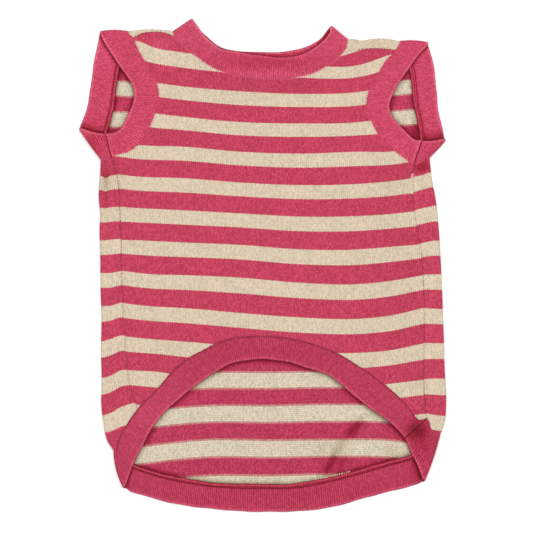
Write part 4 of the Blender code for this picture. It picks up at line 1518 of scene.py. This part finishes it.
# Columns: band, millimetres beside its back seam, share of that seam along which the cord runs.
CORDS = (
    ("armhole left", -0.3, 0.93),
    ("armhole right", -0.4, 0.93),
    ("hem", -0.1, 1.0),
)
cords = []
for name, offset, share in CORDS:
    line = even_path(back_seams[name], CORD_STEP)
    place = np.arange(len(line))[:, None] * CORD_STEP
    # A hand-fed seam wavers: a quick, uneven wave and a slow one.
    waver = 0.16 * np.sin(place / 2.3 + 2.0 * np.sin(place / 9.0)) + 0.2 * np.sin(place / 7.7)
    path = at_height(beside(line, offset + waver)[: int(len(line) * share)], CORD_HEIGHT)
    cords.append(seam_cord(f"seam_cord_{name.replace(' ', '_')}", path, rib_materials["armhole left"]))

# %% [markdown]
# A row of stitches is one mesh. A stitch is a stretched ball of a few faces: its own little grid of points is
# turned to the seam's heading at every place along the seam and all of them are added up at once.

# %% Stitch rows
# Rings of points from one end of a stitch to the other, and points round each ring.
STITCH_RINGS = 6
STITCH_BLUNTNESS = 0.6
# Points closer than this, in millimetres, are one pole of a stitch.
POLE_POINT = 0.0001
# How unevenly long the stitches are, as a share.
SIZE_SPREAD = 0.08
# How unevenly the stitches are turned, in radians. Loose loops lie every way.
TURN_SPREAD = 0.12
LOOSE_SPREAD = 0.5


def stitch_row(name, line, height, pitch, size, turn, material):
    """Small capsules along a plan line. Size is (length, width, thickness) and turn the angle to the line.

    A capsule point is place + length * cos(b) * lengthwise + width * sin(b) cos(a) * sideways
    + thickness * sin(b) sin(a) * up, for b from 0 to 180 degrees and a from 0 to 360.
    """
    places = even_path(line, pitch)
    random = np.random.default_rng(11)
    heading, side = path_frames(at_height(places, 0.0))
    spread = LOOSE_SPREAD if "fringe" in name else TURN_SPREAD
    angle = np.radians(turn) + random.normal(0.0, spread, len(places))
    length, width, thickness = size
    long_way = np.cos(angle)[:, None] * heading + np.sin(angle)[:, None] * side
    cross_way = np.column_stack((-long_way[:, 1], long_way[:, 0], long_way[:, 2]))
    b = np.linspace(0.0, np.pi, STITCH_RINGS)[:, None]
    a = np.linspace(0.0, TAU, STITCH_RINGS, endpoint=False)[None]
    along = np.broadcast_to(np.cos(b) * length / 2, (STITCH_RINGS, STITCH_RINGS)).ravel()
    out = (np.sin(b) ** STITCH_BLUNTNESS * np.cos(a) * width / 2).ravel()
    up = (np.sin(b) ** STITCH_BLUNTNESS * np.sin(a) * thickness / 2).ravel()
    grow = 1 + random.normal(0.0, SIZE_SPREAD, len(places))
    points = (
        at_height(places, height(places))[:, None]
        + (grow[:, None] * along)[..., None] * long_way[:, None]
        + out[None, :, None] * cross_way[:, None]
        + up[None, :, None] * UP_3D
    )
    one = grid_faces(STITCH_RINGS, STITCH_RINGS, wrap_columns=True)
    faces = (np.arange(len(places))[:, None, None] * STITCH_RINGS**2 + one[None]).reshape(-1, 4)
    uv = np.tile(np.column_stack((along, out)), (len(places), 1))
    print(f"{name}: {len(places)} stitches")
    return mesh_piece(name, points.reshape(-1, 3), [faces], uv, [material], POLE_POINT)


def above(lift):
    """The height of something that sits on the upper jersey, that far above the middle of its wall."""
    return lambda places: upper_height(places) + lift


def level(height):
    """The same height everywhere."""
    return lambda places: height


# %% All the stitches
arm_line_left, arm_line_right = joined(*arm_left[1:3]), joined(*arm_right[1:3])
hem_line = joined(*hem[:2])
shoulder_left, shoulder_right, side_left, side_right = seams.values()
shoulder_low = shoulder_right[8:]
ON_BAND = UPPER_RIB + 0.9
# Columns: name, line, millimetres beside it, height, pitch, (length, width, thickness), turn, thread.
STITCHES = (
    ("neck_linking", neck[1], -0.5, above(0.5), RIB_PITCH, (2.0, 0.9, 0.4), 90, "pale"),
    ("armhole_linking_left", arm_line_left, 0.7, above(0.45), RIB_PITCH, (1.9, 0.55, 0.36), 90, "rose"),
    ("armhole_linking_right", arm_line_right, -0.7, above(0.45), RIB_PITCH, (1.9, 0.55, 0.36), 90, "rose"),
    ("hem_linking", hem_line, -0.6, level(ON_BAND), RIB_PITCH, (1.2, 0.95, 0.8), 8, "dark_rose"),
    ("armhole_linking_flap", arm_left[3], 0.6, above(1.0), 1.5, (1.1, 0.8, 0.6), 60, "pale"),
    ("hem_fringe", back_seams["hem"][112:132], 1.5, level(1.5), 1.9, (1.9, 0.8, 0.5), 30, "cream"),
    ("side_seam_pucker_right", side_right[4:13], -0.9, above(0.65), 1.5, (2.4, 1.2, 0.5), 80, "cream"),
    ("side_seam_thread_left", side_left[:62], 0.0, above(0.6), 2.6, (1.5, 0.7, 0.6), 14, "brown"),
    ("side_seam_thread_right", side_right[38:58], 0.0, above(0.6), 2.6, (1.5, 0.7, 0.6), -14, "brown"),
    ("side_seam_thread_low", side_right[-14:-3], 0.0, above(0.6), 2.6, (1.6, 0.8, 0.6), -14, "brown"),
    ("shoulder_seam_thread_left", shoulder_left, 0.0, above(0.65), 2.2, (1.3, 0.8, 0.6), 20, "dark_rose"),
    ("shoulder_seam_thread_right", shoulder_low, 0.0, above(0.65), 2.2, (1.3, 0.8, 0.6), 20, "dark_rose"),
)
stitches = [
    stitch_row(name, beside(line, offset), height, pitch, size, turn, threads[thread])
    for name, line, offset, height, pitch, size, turn, thread in STITCHES
]

# %% [markdown]
# ## What each piece is
# Every piece rides on the root body, and each panel and band hides the solid that it stands for. A band is
# cut twice as wide as it shows, because it is folded double.

REPLACED = {front_panel: "front_panel", back_panel: "back_panel"}
REPLACED.update({rib_pieces[name]: node for name, (piece_name, node, has_join) in RIB_PIECES.items()})
for piece, node in REPLACED.items():
    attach(piece, "root")
    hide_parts(node)
for piece in cords + stitches:
    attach(piece, "root")

# %% [markdown]
# ## The surface, the light and the camera
# The shirt lies on a pale table and is photographed from straight above. A large soft light from the upper
# right gives the folds their faint shadows, and a second one fills them in. The camera's lens is long, so
# the picture is almost free of perspective.

# %% Table top
TABLE_HALF = 5.0


def matt_paper(name, colour):
    """Matt white paper: no gloss, and a fibre grain that is only just there."""
    material, tree = new_material(name)
    place = add_node(tree, "TexCoord").outputs["Object"]
    grain = add_node(tree, "TexNoise", {"Vector": place, "Scale": 900.0, "Detail": 2.0}).outputs[0]
    finish = {"Base Color": linear(colour), "Roughness": 0.95, "Specular IOR Level": 0.1}
    add_surface(tree, grain, 0.1, 0.05, finish)
    return material


table_mesh = bpy.data.meshes.new("floor")
table_signs = ((-1, -1), (1, -1), (1, 1), (-1, 1))
table_corners = [(x * TABLE_HALF, y * TABLE_HALF, 0.0) for x, y in table_signs]
table_mesh.from_pydata(table_corners, [], [(0, 1, 2, 3)])
table_mesh.materials.append(matt_paper("white_paper", "#FBFAF9"))
table_top = bpy.data.objects.new("floor", table_mesh)
bpy.context.scene.collection.objects.link(table_top)

# %% Lights
# Columns: name, place, size across, power in watts.
LIGHTS = (
    ("key_softbox", (0.6, 0.8, 1.85), 1.8, 32.4),
    ("fill_softbox", (-1.0, -0.6, 1.7), 2.0, 18.8),
)
for name, place, size, power in LIGHTS:
    lamp = bpy.data.lights.new(name, "AREA")
    lamp.size = size
    lamp.energy = power
    light = bpy.data.objects.new(name, lamp)
    light.location = place
    light.rotation_euler = (-Vector(place)).to_track_quat("-Z", "Y").to_euler()
    bpy.context.scene.collection.objects.link(light)
world = bpy.data.worlds.new("studio")
world.use_nodes = True
world.node_tree.nodes["Background"].inputs["Color"].default_value = linear("#FFFFFF")
world.node_tree.nodes["Background"].inputs["Strength"].default_value = 0.465
bpy.context.scene.world = world
bpy.context.scene.view_settings.view_transform = "Standard"

# %% Camera
CAMERA_HEIGHT = 1.3
VIEW_WIDTH = 0.41574
VIEW_CENTRE = (0.0025, -0.0005)
SENSOR_MM = 36.0
lens = bpy.data.cameras.new("camera")
lens.sensor_width = SENSOR_MM
lens.lens = SENSOR_MM * CAMERA_HEIGHT / VIEW_WIDTH
camera = bpy.data.objects.new("camera", lens)
camera.location = (*VIEW_CENTRE, CAMERA_HEIGHT)
bpy.context.scene.collection.objects.link(camera)
bpy.context.scene.camera = camera
print(f"lens {lens.lens:.0f} mm, straight down from {CAMERA_HEIGHT} m")
